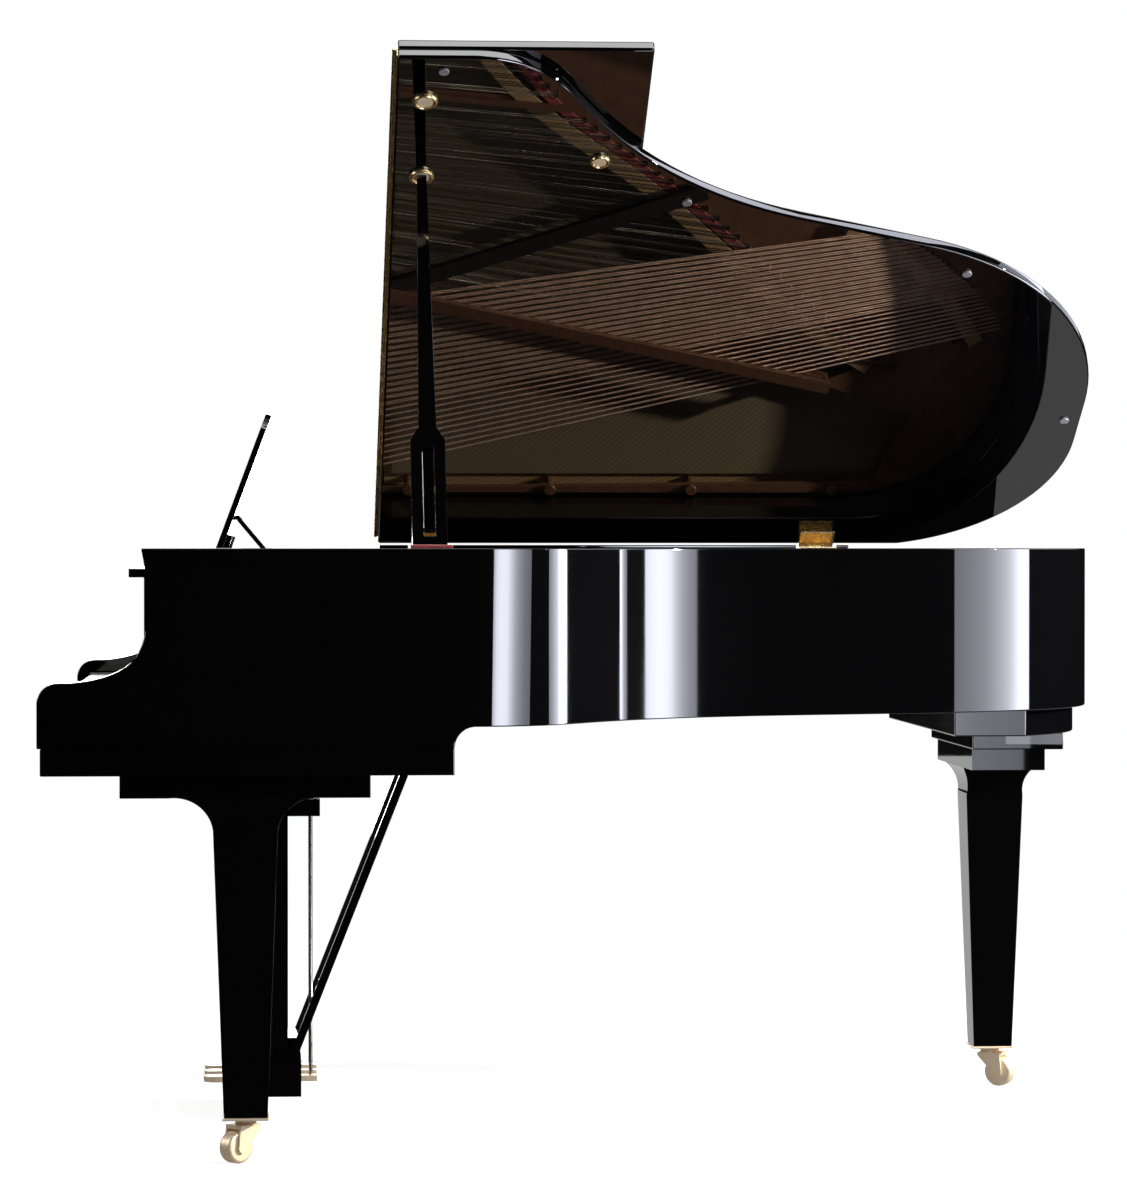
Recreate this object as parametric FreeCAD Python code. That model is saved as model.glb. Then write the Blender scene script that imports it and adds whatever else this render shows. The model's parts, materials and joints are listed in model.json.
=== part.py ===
import FreeCAD, Part
import math
import os
from FreeCAD import Vector

# A grand piano of middle size, lid open on its long prop. Millimetres.
# X runs from bass to treble, Y from the player to the tail, Z up from the floor.

# Case
case_width = 1480.0
nose_y = -930.0
tail_y = 904.0
rim_top = 982.0
rim_bottom = 701.0
rim_thickness = 50.0
overrun = 20.0
seat_gap = 0.3

# Plan of the bent side: turns in degrees, radii and straight runs of the outer face
bend_start_y = -246.0
waist_radius = 179.0
waist_turn = 55.9
waist_run = 94.0
hollow_radius = 708.0
hollow_turn = 38.0
hip_radius = 504.0
tail_run = 132.4

# Side profile of the arms
arm_drop = 33.0
arm_rear_y = -276.0
cove_radius = 33.0
nose_front_top = 735.0
nose_top_y = -897.0
nose_top_z = 771.0
nose_bulge_share = 0.72
sweep_start_y = -842.0
sweep_start_z = 776.0
sweep_mid_y = -782.0
sweep_mid_z = 804.0
waist_y = -757.0
waist_z = 889.0
arm_top_y = -767.0

# Key bed, slip and blocks
bed_thickness = 43.0
bed_front_y = -925.0
bed_inset = 2.0
slip_front_y = -924.0
slip_thickness = 16.0
slip_height = 67.0
block_front_y = -904.0
block_rear_y = -790.0
block_height = 80.0
action_shift_room = 3.5

# Inner rim, soundboard and beams
liner_thickness = 55.0
liner_rise = 2.0
board_rise = 164.0
board_thickness = 9.0
board_edge = 28.0
belly_front_y = -345.0
belly_depth = 40.0
board_front_y = -330.0
beam_width = 60.0
beam_height = 58.0
beam_turn = (-14.0, -5.0, 5.0, 15.0)
beam_width_shares = (-0.27, -0.09, 0.1, 0.27)
rib_count = 9
rib_width = 22.0
rib_height = 20.0
rib_turn = 42.0

# Iron plate and pin block
plate_lift = 27.0
plate_thickness = 12.0
plate_front_y = -655.0
plate_edge_gap = 6.0
web_margin = 6.0
strut_width = 20.0
strut_rise = 20.0
low_strut_rise = 8.0
high_strut_width = 28.0
high_strut_depth = 18.0
high_strut_gap = 6.0
bass_bar_width = 22.0
bass_bar_depth = 16.0
bass_bar_gap = 4.0
strut_foot_length = 7.0
strut_foot_width = 13.0
pin_block_height = 40.0
pin_block_rear_y = -470.0
bolt_count = 12
bolt_radius = 7.0
nut_radius = 11.0
nut_height = 10.0
bolt_front_y = -300.0

# Strings. Places of the bridges, the struts and the windows are shares of the inner half
# width along X and of the way from the agraffes to the tail along Y.
agraffe_y = -430.0
plain_span_shares = (-0.3217, 0.8957)
wound_span_shares = (-0.9188, -0.4116)
long_bridge_shares = ((-0.587, 0.7421), (-0.3406, 0.581), (-0.0638, 0.4213), (0.0942, 0.3058),
                      (0.3014, 0.1949), (0.5797, 0.1199), (0.9014, 0.0712))
bass_bridge_shares = ((-0.4928, 0.8973), (-0.3261, 0.8261), (-0.2, 0.7286))
bridge_width = 30.0
bridge_end_margin = 24.0
string_rise = 7.0
wound_lift = 16.0
plain_note_count = 60
plain_spacing = 3.6
plain_fan_power = 3.0
wound_fan_power = 1.0
plain_radius = 0.55
wound_single_count = 10
wound_note_count = 28
wound_radius = 2.3
wound_pair_radius = 1.5
wound_pair_spacing = 3.8
tail_length = 74.0
bass_tail_length = 60.0
break_note_shares = (0.45, 0.7334)
break_step_count = 2
curve_step_share = 0.00001
hitch_radius = 1.5
hitch_height = 3.0
pin_radius = 2.6
pin_height = 30.0
pin_row_count = 3
pin_row_step = 36.0
pin_first_y = -556.0
bridge_room = 4.0
rib_thickness = 10.0
bass_strut_shares = ((-0.3449, 0.0045), (-0.6435, 0.6972))
high_strut_shares = ((-0.3565, 0.069), (-0.0725, 0.5097))
bass_bar_start_share = 0.089
window_back_margin = 34.0
bass_window_shares = ((-0.9797, 0.0045), (-0.3652, 0.0045), (-0.6638, 0.6972), (-0.7536, 0.8231),
                      (-0.9623, 0.7721))
bass_bridge_window = 24.0

# Keyboard and action
white_key_count = 52
cheek_width = 77.7
key_gap = 1.0
key_front_y = -902.0
key_head_length = 50.0
key_rear_y = -502.0
key_rise = 77.0
key_depth = 23.0
black_width = 13.7
black_top_width = 9.4
black_height = 11.0
black_front_rake = 7.0
black_rear_y = -754.0
balance_y = -672.0
balance_ridge = 4.0
rail_width = 40.0
front_rail_y = -880.0
front_rail_room = 14.0
back_rail_y = -540.0
back_rail_room = 1.0
frame_board = 12.0
action_y = -535.0
action_bar = 11.0
action_bar_rise = 124.0
action_bar_thickness = 14.0
action_rear_y = -478.0
bracket_count = 5
bracket_width = 20.0
bracket_depth = 20.0
shank_length = 130.0
shank_size = 6.0
hammer_height = 52.0
hammer_length = 22.0
hammer_width = 9.0
hammer_nose_share = 0.35
damper_y = -372.0
damper_length = 26.0
damper_width = 9.6
damper_height = 15.0
damper_count = 66
damper_wire = 1.6
damper_rail_drop = 87.0
damper_rail_size = 14.0
damper_seat = 0.3

# Fallboard
fall_pivot_y = -758.0
fall_pivot_z = 788.0
fall_side_gap = 4.0
fall_front_y = -764.0
fall_rear_y = -742.0
fall_bottom = 764.0
fall_top = 950.0
fall_lip_y = -788.0
fall_lip_thickness = 14.0
fall_pin_radius = 5.0

# Music desk: rails, tray, panel and struts
desk_rail_bottom = 925.0
desk_rail_top = 945.0
desk_rail_width = 46.0
desk_rail_front_y = -736.0
desk_rail_rear_y = -372.0
tray_side_gap = 28.0
tray_thickness = 12.0
tray_front_y = -716.0
tray_rear_y = -440.0
desk_hinge_y = -640.0
desk_hinge_z = 968.0
desk_lean = 20.4
desk_length = 247.0
desk_foot = 8.0
desk_thickness = 10.0
desk_half_width = 375.0
desk_round = 60.0
desk_pin_radius = 3.0
desk_ear = 18.0
desk_ear_width = 14.0
desk_ear_gap = 1.0
strut_pivot_up = 68.0
strut_pivot_back = 5.0
desk_strut_width = 14.0
desk_strut_thickness = 7.0
desk_strut_x = 250.0
desk_strut_drop = 50.0
strut_boss = 4.5

# Lid, flap and their hinges. The lid is drawn shut and then opened.
lid_overhang = 8.0
lid_buffer = 5.0
lid_thickness = 18.5
lid_open = 31.9
lid_bass_inset = 1.0
lid_shift = 16.0
hinge_axis_out = 6.0
hinge_axis_up = 2.5
hinge_barrel = 4.5
hinge_pin = 2.0
hinge_bore_gap = 0.05
hinge_leaf = 2.0
hinge_leaf_reach = 50.0
hinge_length = 66.0
hinge_knuckle_gap = 0.4
lid_hinge_y = (-263.0, 483.0)
flap_axis_y = -364.0
flap_axis_gap = 0.4
flap_joint_gap = 5.0
flap_front_y = -788.0
flap_barrel = 3.6
flap_leaf = 1.2
flap_leaf_height = 14.0
cup_radius = 21.0
small_cup_radius = 17.0
cup_height = 4.0
prop_y = -311.0
main_cup_inset = 303.0
half_cup_inset = 98.0
far_cup_inset = 258.0
far_cup_y = -13.0

# Lid prop
prop_pivot_inset = 40.0
prop_pivot_z = 945.0
prop_fold_heading = 36.0
prop_base_width = 56.0
prop_base_length = 243.0
prop_base_drop = 14.0
prop_thickness = 18.0
prop_shoulder = 24.0
prop_stick_width = 29.0
prop_tip_width = 16.0
prop_tip_gap = 0.5
prop_slot_width = 20.0
prop_slot_start = 60.0
prop_slot_end = 230.0
prop_pin_radius = 5.0
prop_pin_end = 13.0
half_width = 18.0
half_thickness = 12.0
half_pivot = 78.0
half_pin_radius = 2.5
bracket_plate = 6.0
bracket_length = 44.0
bracket_height = 30.0

# Legs and casters
leg_inset = 140.0
front_leg_y = -605.0
tail_leg_inset = 440.0
tail_leg_y = 748.0
leg_top_length = 397.0
leg_top_width = 131.0
leg_slab = 39.0
leg_cove_height = 52.0
leg_cove_width = 69.0
leg_shaft_top = 103.0
leg_shaft_bottom = 70.0
leg_bottom = 74.0
tail_slab_top = 701.0
tail_slab_bottom = 655.0
tail_slab_front_y = 621.0
tail_slab_inset = 28.0
tail_slab_reach = 390.0
tail_block_length = 480.0
tail_block_width = 162.0
tail_block_y = 758.0
socket_plate = 4.0
socket_margin = 2.0
wheel_radius = 26.0
wheel_width = 28.0
wheel_trail = 20.0
wheel_bore = 5.0
wheel_round = 6.0
fork_cheek = 4.0
fork_gap = 1.0
fork_room = 3.0
fork_plate = 6.0
fork_stem = 6.0
fork_neck_radius = 17.0
caster_turns = (40.0, 150.0, 35.0)

# Lyre, pedals and rods
lyre_y = -552.0
lyre_head_length = 300.0
lyre_head_depth = 40.0
guide_rear_y = -481.0
guide_bottom = 525.0
guide_height = 28.0
post_gap = 150.0
post_width = 36.0
post_depth = 33.0
box_width = 300.0
box_front_y = -592.0
box_rear_y = -513.0
box_bottom = 46.0
box_top = 107.0
box_board = 11.0
pedal_front_y = -680.0
pedal_rear_y = -485.0
pedal_pivot_y = -556.0
pedal_z = 70.0
pedal_spacing = 78.0
pedal_width = 40.0
pedal_neck = 22.0
pedal_thickness = 10.0
pedal_axle = 3.0
pedal_boss = 8.0
rod_y = -496.0
rod_radius = 3.0
rod_top = 600.0
rod_guide_gap = 1.0
brace_x = 92.0
brace_size = 14.0
brace_top_y = -323.0
brace_foot_y = -527.0
toe_half_width = 70.0
toe_height = 31.0
toe_slope = 6.0

# Places that follow from the sizes above
half_case = case_width / 2
arm_inner = half_case - rim_thickness
arm_bottom = rim_bottom - arm_drop
bed_top = arm_bottom
bed_bottom = bed_top - bed_thickness
liner_bottom = rim_bottom + liner_rise
board_bottom = bed_top + board_rise
board_top = board_bottom + board_thickness
plate_bottom = board_top + plate_lift
plate_top = plate_bottom + plate_thickness
block_bottom = plate_bottom - pin_block_height
string_height = plate_top + string_rise
damper_rail_z = string_height - damper_rail_drop
action_bar_z = bed_top + action_bar_rise
key_top = bed_top + key_rise
white_pitch = 2 * (arm_inner - cheek_width) / white_key_count
fall_half_width = arm_inner - fall_side_gap
tray_half_width = arm_inner - tray_side_gap
prop_pivot_x = arm_inner - prop_pivot_inset
main_cup_run = case_width - main_cup_inset
half_cup_run = case_width - half_cup_inset
far_cup_run = case_width - far_cup_inset
leg_x = half_case - leg_inset
tail_leg_x = tail_leg_inset - half_case
tail_slab_treble_x = tail_leg_x + tail_slab_reach
web_rear_y = agraffe_y + web_margin
plain_first_x, plain_last_x = [arm_inner * share for share in plain_span_shares]
wound_first_x, wound_last_x = [arm_inner * share for share in wound_span_shares]
break_notes = [round(plain_note_count * share) for share in break_note_shares]
lid_under = rim_top + lid_buffer
lid_top = lid_under + lid_thickness
hinge_x = -half_case - hinge_axis_out
hinge_z = rim_top + hinge_axis_up
flap_axis_z = lid_top + flap_axis_gap
half_keyboard = arm_inner - cheek_width
key_bottom = key_top - key_depth
wound_height = string_height + wound_lift
tray_top = desk_rail_top + tray_thickness
leg_top = bed_bottom
X = Vector(1, 0, 0)
Y = Vector(0, 1, 0)
Z = Vector(0, 0, 1)


# Small shapes
def deck_places(shares):
    """X and Y places over the soundboard."""
    return [(arm_inner * x, agraffe_y + (tail_y - agraffe_y) * y) for x, y in shares]


long_bridge = deck_places(long_bridge_shares)
bass_bridge = deck_places(bass_bridge_shares)
bass_strut = deck_places(bass_strut_shares)
high_strut = deck_places(high_strut_shares)
bass_window = deck_places(bass_window_shares)


def block(x0, x1, y0, y1, z0, z1):
    return Part.makeBox(x1 - x0, y1 - y0, z1 - z0, Vector(x0, y0, z0))


def rod(start, end, radius):
    run = end - start
    return Part.makeCylinder(radius, run.Length, start, run)


def face_of(edges):
    return Part.Face(Part.Wire(edges))


def polygon(points):
    return Part.Face(Part.makePolygon(list(points) + [points[0]]))


def plan(points, z0, z1):
    """A flat shape drawn in X and Y, from z0 up to z1."""
    return polygon([Vector(x, y, z0) for x, y in points]).extrude(Z * (z1 - z0))


def group(solids):
    return Part.makeCompound(solids)


def turned(shape, centre, axis, degrees):
    copy = shape.copy()
    copy.rotate(centre, axis, degrees)
    return copy


def moved(shape, vector):
    copy = shape.copy()
    copy.translate(vector)
    return copy


# The bent plan of the case
def bend_runs():
    """Turn (left is positive) and radius, or straight run, in order along the outer face."""
    hip_turn = 90 + hollow_turn - waist_turn
    up = math.radians(90 + waist_turn)
    down = math.radians(90 + waist_turn - hollow_turn)
    rise = waist_radius * math.sin(math.radians(waist_turn)) + waist_run * math.sin(up)
    rise += hollow_radius * (math.cos(down) - math.cos(up)) + hip_radius * (1 + math.cos(down))
    hip_run = (tail_y - bend_start_y - rise) / math.sin(down)
    reach = waist_radius * (1 - math.cos(math.radians(waist_turn))) - waist_run * math.cos(up)
    reach += hollow_radius * (math.sin(down) - math.sin(up)) - hip_run * math.cos(down)
    reach += hip_radius * math.sin(down) + tail_run
    return (("turn", waist_turn, waist_radius), ("run", waist_run), ("turn", -hollow_turn, hollow_radius),
            ("run", hip_run), ("turn", hip_turn, hip_radius), ("run", tail_run),
            ("turn", 90, case_width - reach))


def case_edges(inset, front_y, z):
    """Edges of the case plan, moved in by inset, from the treble front to the bass front."""
    here = Vector(half_case - inset, front_y, z)
    end = Vector(half_case - inset, bend_start_y, z)
    edges = [Part.makeLine(here, end)]
    here = end
    heading = 90.0
    for step in bend_runs():
        ahead = Vector(math.cos(math.radians(heading)), math.sin(math.radians(heading)), 0)
        if step[0] == "run":
            end = here + ahead * step[1]
            edges.append(Part.makeLine(here, end))
        else:
            turn = step[1]
            radius = step[2] - inset * math.copysign(1, turn)
            left = Vector(-ahead.y, ahead.x, 0) * math.copysign(1, turn)
            centre = here + left * radius
            spin = FreeCAD.Rotation(Z, turn / 2)
            middle = centre + spin.multVec(here - centre)
            end = centre + spin.multVec(middle - centre)
            edges.append(Part.Arc(here, middle, end).toShape())
            heading += turn
        here = end
    edges.append(Part.makeLine(here, Vector(here.x, front_y, z)))
    return edges


def case_area(inset, front_y, z0, z1):
    """The case plan, moved in by inset and closed across its front, from z0 up to z1."""
    edges = case_edges(inset, front_y, z0)
    edges.append(Part.makeLine(edges[-1].Vertexes[-1].Point, edges[0].Vertexes[0].Point))
    return Part.Face(Part.Wire(Part.__sortEdges__(edges))).extrude(Z * (z1 - z0))


def side_profile():
    """The case from the side: nose, swept arm, level top, and the cove behind the arm."""
    far = tail_y + overrun
    corner = Vector(0, nose_y, nose_front_top)
    crown = Vector(0, nose_top_y, nose_top_z)
    bulge = (nose_top_y - nose_y) * (1 - nose_bulge_share)
    shoulder = Vector(0, nose_y + bulge, nose_front_top + (nose_top_z - nose_front_top) * nose_bulge_share)
    sweep = Part.BSplineCurve()
    sweep.interpolate([crown, Vector(0, sweep_start_y, sweep_start_z), Vector(0, sweep_mid_y, sweep_mid_z),
                       Vector(0, waist_y, waist_z), Vector(0, arm_top_y, rim_top)])
    foot = Vector(0, arm_rear_y, arm_bottom)
    cove_top = Vector(0, arm_rear_y + cove_radius, rim_bottom)
    lift = rim_bottom - arm_bottom
    slant = math.sqrt(0.5)
    cove_mid = Vector(0, cove_top.y - cove_radius * slant, arm_bottom + lift * slant)
    return [Part.makeLine(Vector(0, nose_y, arm_bottom), corner), Part.Arc(corner, shoulder, crown).toShape(),
            sweep.toShape(), Part.makeLine(Vector(0, arm_top_y, rim_top), Vector(0, far, rim_top)),
            Part.makeLine(Vector(0, far, rim_top), Vector(0, far, rim_bottom)),
            Part.makeLine(Vector(0, far, rim_bottom), cove_top), Part.Arc(cove_top, cove_mid, foot).toShape(),
            Part.makeLine(foot, Vector(0, nose_y, arm_bottom))]


def outer_rim():
    band = case_area(0, nose_y, arm_bottom, rim_top)
    band = band.cut(case_area(rim_thickness, nose_y - overrun, arm_bottom - overrun, rim_top + overrun))
    profile = moved(face_of(side_profile()), X * -case_width).extrude(X * 2 * case_width)
    return band.common(profile)


def inner_rim():
    front = belly_front_y + belly_depth
    band = case_area(rim_thickness, front, liner_bottom, board_bottom)
    return band.cut(case_area(rim_thickness + liner_thickness, front - overrun, liner_bottom - overrun,
                              board_bottom + overrun))


def key_bed():
    edge = half_case - bed_inset
    return block(-edge, edge, bed_front_y, arm_rear_y, bed_bottom, bed_top)


def key_slip():
    return block(-arm_inner, arm_inner, slip_front_y, slip_front_y + slip_thickness, bed_top,
                 bed_top + slip_height)


def key_blocks():
    inside = half_keyboard + action_shift_room
    treble = block(inside, arm_inner, block_front_y, block_rear_y, bed_top, bed_top + block_height)
    bass = block(-arm_inner, -inside, block_front_y, block_rear_y, bed_top, bed_top + block_height)
    return group([treble, bass])


def case_beams():
    inside = case_area(rim_thickness + liner_thickness, belly_front_y + belly_depth, liner_bottom,
                       board_bottom)
    belly = block(-arm_inner, arm_inner, belly_front_y, belly_front_y + belly_depth, liner_bottom,
                  board_bottom)
    beams = [belly]
    root = belly_front_y + belly_depth
    for turn, share in zip(beam_turn, beam_width_shares):
        start = share * case_width
        beam = block(start - beam_width / 2, start + beam_width / 2, root - case_width, root + 2 * case_width,
                     liner_bottom, liner_bottom + beam_height)
        beams.append(turned(beam, Vector(start, root, 0), Z, turn).common(inside))
    return group(beams)


def soundboard():
    board = case_area(rim_thickness + board_edge, board_front_y, board_bottom, board_top)
    inside = case_area(rim_thickness + liner_thickness, belly_front_y + belly_depth,
                       board_bottom - rib_height,
                       board_bottom)
    middle = Vector(0, (board_front_y + tail_y) / 2, 0)
    step = (tail_y - board_front_y) / rib_count
    pieces = [board]
    for index in range(rib_count):
        shift = (index - (rib_count - 1) / 2) * step
        rib = block(-case_width, case_width, middle.y + shift - rib_width / 2,
                    middle.y + shift + rib_width / 2,
                    board_bottom - rib_height, board_bottom)
        pieces += turned(rib, middle, Z, rib_turn).common(inside).Solids
    return group(pieces)


def tail_blocks():
    slab = case_area(rim_thickness - tail_slab_inset, belly_front_y, tail_slab_bottom, tail_slab_top)
    slab = slab.common(block(-case_width, tail_slab_treble_x, tail_slab_front_y, tail_y, tail_slab_bottom,
                             tail_slab_top))
    lower = block(tail_leg_x - tail_block_length / 2, tail_leg_x + tail_block_length / 2,
                  tail_block_y - tail_block_width / 2, tail_block_y + tail_block_width / 2, leg_top,
                  tail_slab_bottom)
    return group([slab, lower])


def pin_block():
    return block(-arm_inner, arm_inner, plate_front_y, pin_block_rear_y, block_bottom, plate_bottom)


# Bridges, plate and strings
def smooth_line(points, count):
    """Evenly spaced points on a smooth curve through the given X and Y places."""
    curve = Part.BSplineCurve()
    curve.interpolate([Vector(x, y, 0) for x, y in points])
    return curve.discretize(count)


def bridge(points, top, margin):
    """A bridge from the soundboard up to top, drawn margin larger than its real size."""
    line = smooth_line(points, 4 * len(points))
    ahead = line[1] - line[0]
    line[0] = line[0] - ahead * ((bridge_end_margin + margin) / ahead.Length)
    back = line[-1] - line[-2]
    line[-1] = line[-1] + back * ((bridge_end_margin + margin) / back.Length)
    sides = []
    for hand in (1, -1):
        side = []
        for index, point in enumerate(line):
            along = line[min(index + 1, len(line) - 1)] - line[max(index - 1, 0)]
            across = Vector(-along.y, along.x, 0) * (hand * (bridge_width / 2 + margin) / along.Length)
            side.append(point + across + Z * board_top)
        sides.append(side)
    left = Part.BSplineCurve()
    left.interpolate(sides[0])
    right = Part.BSplineCurve()
    right.interpolate(sides[1])
    edges = [left.toShape(), Part.makeLine(sides[0][-1], sides[1][-1]), right.toShape(),
             Part.makeLine(sides[1][0], sides[0][0])]
    return Part.Face(Part.Wire(Part.__sortEdges__(edges))).extrude(Z * (top - board_top))


def bridges():
    return group([bridge(long_bridge, string_height - plain_radius, 0),
                  bridge(bass_bridge, wound_height - wound_radius, 0)])


def strip(ends, width, z0, z1):
    """A straight bar in plan between two X and Y places."""
    start = Vector(ends[0][0], ends[0][1], 0)
    run = Vector(ends[1][0], ends[1][1], 0) - start
    across = Vector(-run.y, run.x, 0) * (width / 2 / run.Length)
    corners = [start + across, start - across, start + run - across, start + run + across]
    return plan([(corner.x, corner.y) for corner in corners], z0, z1)


def plate_windows(z0, z1):
    """Openings over the soundboard: for the plain strings, the wound strings and the bass bridge."""
    back = smooth_line(long_bridge, 3 * len(long_bridge))
    main = [(back[-1].x, web_rear_y), bass_strut[0], bass_strut[1]]
    main += [(point.x, point.y + window_back_margin) for point in back]
    return [plan(main, z0, z1), plan(bass_window, z0, z1),
            strip((bass_bridge[0], bass_bridge[-1]), bridge_width + 2 * bass_bridge_window, z0, z1)]


def break_strut(note):
    """A strut's ends: midway between this unison and the one before it, from the web to the hitch line."""
    lines = list(plain_lines())
    first = (lines[note - 1][0] + lines[note][0]) / 2
    last = (lines[note - 1][1] + lines[note][1]) / 2
    return (first.x, first.y), (last.x, last.y)


def raised_struts():
    """Two bars that meet on one foot: one beside the wound strings, one that crosses over them."""
    corner = Vector(bass_strut[0][0], bass_strut[0][1], 0)
    tail = Vector(bass_strut[1][0], bass_strut[1][1], 0)
    corner = corner + (tail - corner) * bass_bar_start_share
    step = (tail - corner).normalize() * strut_foot_length
    low = string_height + plain_radius + high_strut_gap
    high = wound_height + wound_radius + bass_bar_gap
    bars = strip(((corner.x, corner.y), (tail.x, tail.y)), bass_bar_width, high, high + bass_bar_depth)
    for near, far in ((corner, corner + step), (tail - step, tail)):
        foot = ((near.x, near.y), (far.x, far.y))
        bars = bars.fuse(strip(foot, strut_foot_width, plate_top, high))
    bars = bars.fuse(strip(high_strut, high_strut_width, low, low + high_strut_depth))
    end = Vector(high_strut[1][0], high_strut[1][1], 0)
    back = Vector(high_strut[0][0], high_strut[0][1], 0) - end
    near = end + back.normalize() * strut_foot_length
    return bars.fuse(strip(((near.x, near.y), (end.x, end.y)), high_strut_width, plate_top, low))


def iron_plate():
    area = case_area(rim_thickness + plate_edge_gap, plate_front_y, plate_bottom, plate_top)
    plate = area
    for window in plate_windows(plate_bottom - overrun, plate_top + overrun):
        plate = plate.cut(window)
    struts = [(bass_strut, low_strut_rise)]
    struts += [(break_strut(note), strut_rise) for note in break_notes]
    for ends, rise in struts:
        plate = plate.fuse(strip(ends, strut_width, plate_bottom, plate_top).common(area))
        plate = plate.fuse(strip(ends, rib_thickness, plate_top, plate_top + rise))
    plate = plate.fuse(raised_struts())
    plate = plate.cut(bridge(long_bridge, string_height - plain_radius + seat_gap, bridge_room))
    plate = plate.cut(bridge(bass_bridge, plate_top + overrun, bridge_room))
    return plate.removeSplitter()


def plate_bolts():
    """Dowels that carry the plate on the inner rim, with a nut over each."""
    line = Part.Wire(case_edges(rim_thickness + board_edge / 2, bolt_front_y, board_bottom))
    pieces = []
    for point in line.discretize(bolt_count):
        pieces.append(rod(point, Vector(point.x, point.y, plate_bottom), bolt_radius))
        nut = Vector(point.x, point.y, plate_top)
        pieces.append(rod(nut, nut + Z * nut_height, nut_radius))
    return group(pieces)


def string_line(points, share, span, fan_power, height, tail):
    """Bearing point and hitch point of one note, its share of the way along a bridge.

    The fan power says how soon the slant of the first note dies out along the span of X places.
    """
    curve = Part.BSplineCurve()
    curve.interpolate([Vector(x, y, height) for x, y in points])
    start = Vector(span[0] + (span[1] - span[0]) * share, agraffe_y, height)
    x = start.x + (points[0][0] - span[0]) * (1 - share) ** fan_power + (points[-1][0] - span[1]) * share
    low = curve.FirstParameter
    high = curve.LastParameter
    while high - low > curve_step_share * curve.LastParameter:
        middle = (low + high) / 2
        low, high = (middle, high) if curve.value(middle).x < x else (low, middle)
    crossing = curve.value(low)
    run = crossing - start
    return start, crossing + run * (tail / run.Length)


def plain_lines():
    """The plain notes, bass first, with a wider step where a strut passes."""
    steps = plain_note_count - 1 + break_step_count * len(break_notes)
    for note in range(plain_note_count):
        passed = sum(1 for place in break_notes if note >= place)
        share = (note + passed * break_step_count) / steps
        yield string_line(long_bridge, share, (plain_first_x, plain_last_x), plain_fan_power, string_height,
                          tail_length)


def wound_lines():
    for note in range(wound_note_count):
        share = note / (wound_note_count - 1)
        yield string_line(bass_bridge, share, (wound_first_x, wound_last_x), wound_fan_power, wound_height,
                          bass_tail_length)


def string_ends():
    """Every string: bearing point, hitch point, tuning pin row, radius, and whether it is wound."""
    for start, end in plain_lines():
        for row in range(pin_row_count):
            shift = X * ((row - 1) * plain_spacing)
            yield start + shift, end + shift, row, plain_radius, False
    for note, (start, end) in enumerate(wound_lines()):
        single = note < wound_single_count
        count = 1 if single else 2
        for row in range(count):
            radius = wound_radius if single else wound_pair_radius
            shift = X * ((row - (count - 1) / 2) * wound_pair_spacing) + Z * (radius - wound_radius)
            yield start + shift, end + shift, row, radius, True


def pin_foot(start, row):
    return Vector(start.x, pin_first_y - row * pin_row_step, plate_top)


def strings(wound):
    pieces = []
    for start, end, row, radius, is_wound in string_ends():
        if is_wound != wound:
            continue
        pin = pin_foot(start, row)
        front = Vector(start.x, pin.y + pin_radius, start.z)
        pieces.append(rod(start, end, radius))
        pieces.append(rod(front, start - Y * seat_gap, plain_radius))
    return group(pieces)


def plain_strings():
    return strings(False)


def wound_strings():
    return strings(True)


def string_pins():
    """Tuning pins at the front of the plate and hitch pins at the strings' far ends."""
    pins = []
    for start, end, row, radius, wound in string_ends():
        foot = pin_foot(start, row)
        pins.append(rod(foot, foot + Z * pin_height, pin_radius))
        ahead = (end - start) / (end - start).Length
        hitch = end + ahead * hitch_radius
        pins.append(rod(Vector(hitch.x, hitch.y, plate_top), hitch + Z * hitch_height, hitch_radius))
    return group(pins)


# Keyboard and action
key_names = ("c", "c_sharp", "d", "d_sharp", "e", "f", "f_sharp", "g", "g_sharp", "a", "a_sharp", "b")
white_steps = (0, 2, 4, 5, 7, 9, 11)


def key_places():
    """Pitch class, head span (none on a black key) and tail span of each key, bass first."""
    for white in range(white_key_count):
        letter = (white + 5) % 7
        upper = letter > 2
        size = 4 if upper else 3
        place = letter - 3 if upper else letter
        left = white * white_pitch - half_keyboard
        tail = (size * white_pitch - (size - 1) * black_width) / size
        tail_left = left - place * white_pitch + place * (tail + black_width)
        tail_right = tail_left + tail
        last = white == white_key_count - 1
        span = (left if white == 0 else tail_left, left + white_pitch if last else tail_right)
        yield white_steps[letter], (left, left + white_pitch), span
        if place < size - 1 and not last:
            yield white_steps[letter] + 1, None, (tail_right, tail_right + black_width)


def white_key(head, tail):
    gap = key_gap / 2
    split = key_front_y + key_head_length
    front = block(head[0] + gap, head[1] - gap, key_front_y, split, key_bottom, key_top)
    rear = block(tail[0] + gap, tail[1] - gap, split, key_rear_y, key_bottom, key_top)
    return front.fuse(rear).removeSplitter()


def black_key(span):
    gap = key_gap / 2
    front_y = key_front_y + key_head_length + key_gap
    stick = block(span[0] + gap, span[1] - gap, front_y, key_rear_y, key_bottom, key_top)
    middle = (span[0] + span[1]) / 2
    inset = black_top_width / 2
    foot = [Vector(span[0] + gap, front_y, key_top), Vector(span[1] - gap, front_y, key_top),
            Vector(span[1] - gap, black_rear_y, key_top), Vector(span[0] + gap, black_rear_y, key_top)]
    crown = [Vector(middle - inset, front_y + black_front_rake, key_top + black_height),
             Vector(middle + inset, front_y + black_front_rake, key_top + black_height),
             Vector(middle + inset, black_rear_y, key_top + black_height),
             Vector(middle - inset, black_rear_y, key_top + black_height)]
    rings = [Part.makePolygon(points + [points[0]]) for points in (foot, crown)]
    return stick.fuse(Part.makeLoft(rings, True, True))


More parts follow.
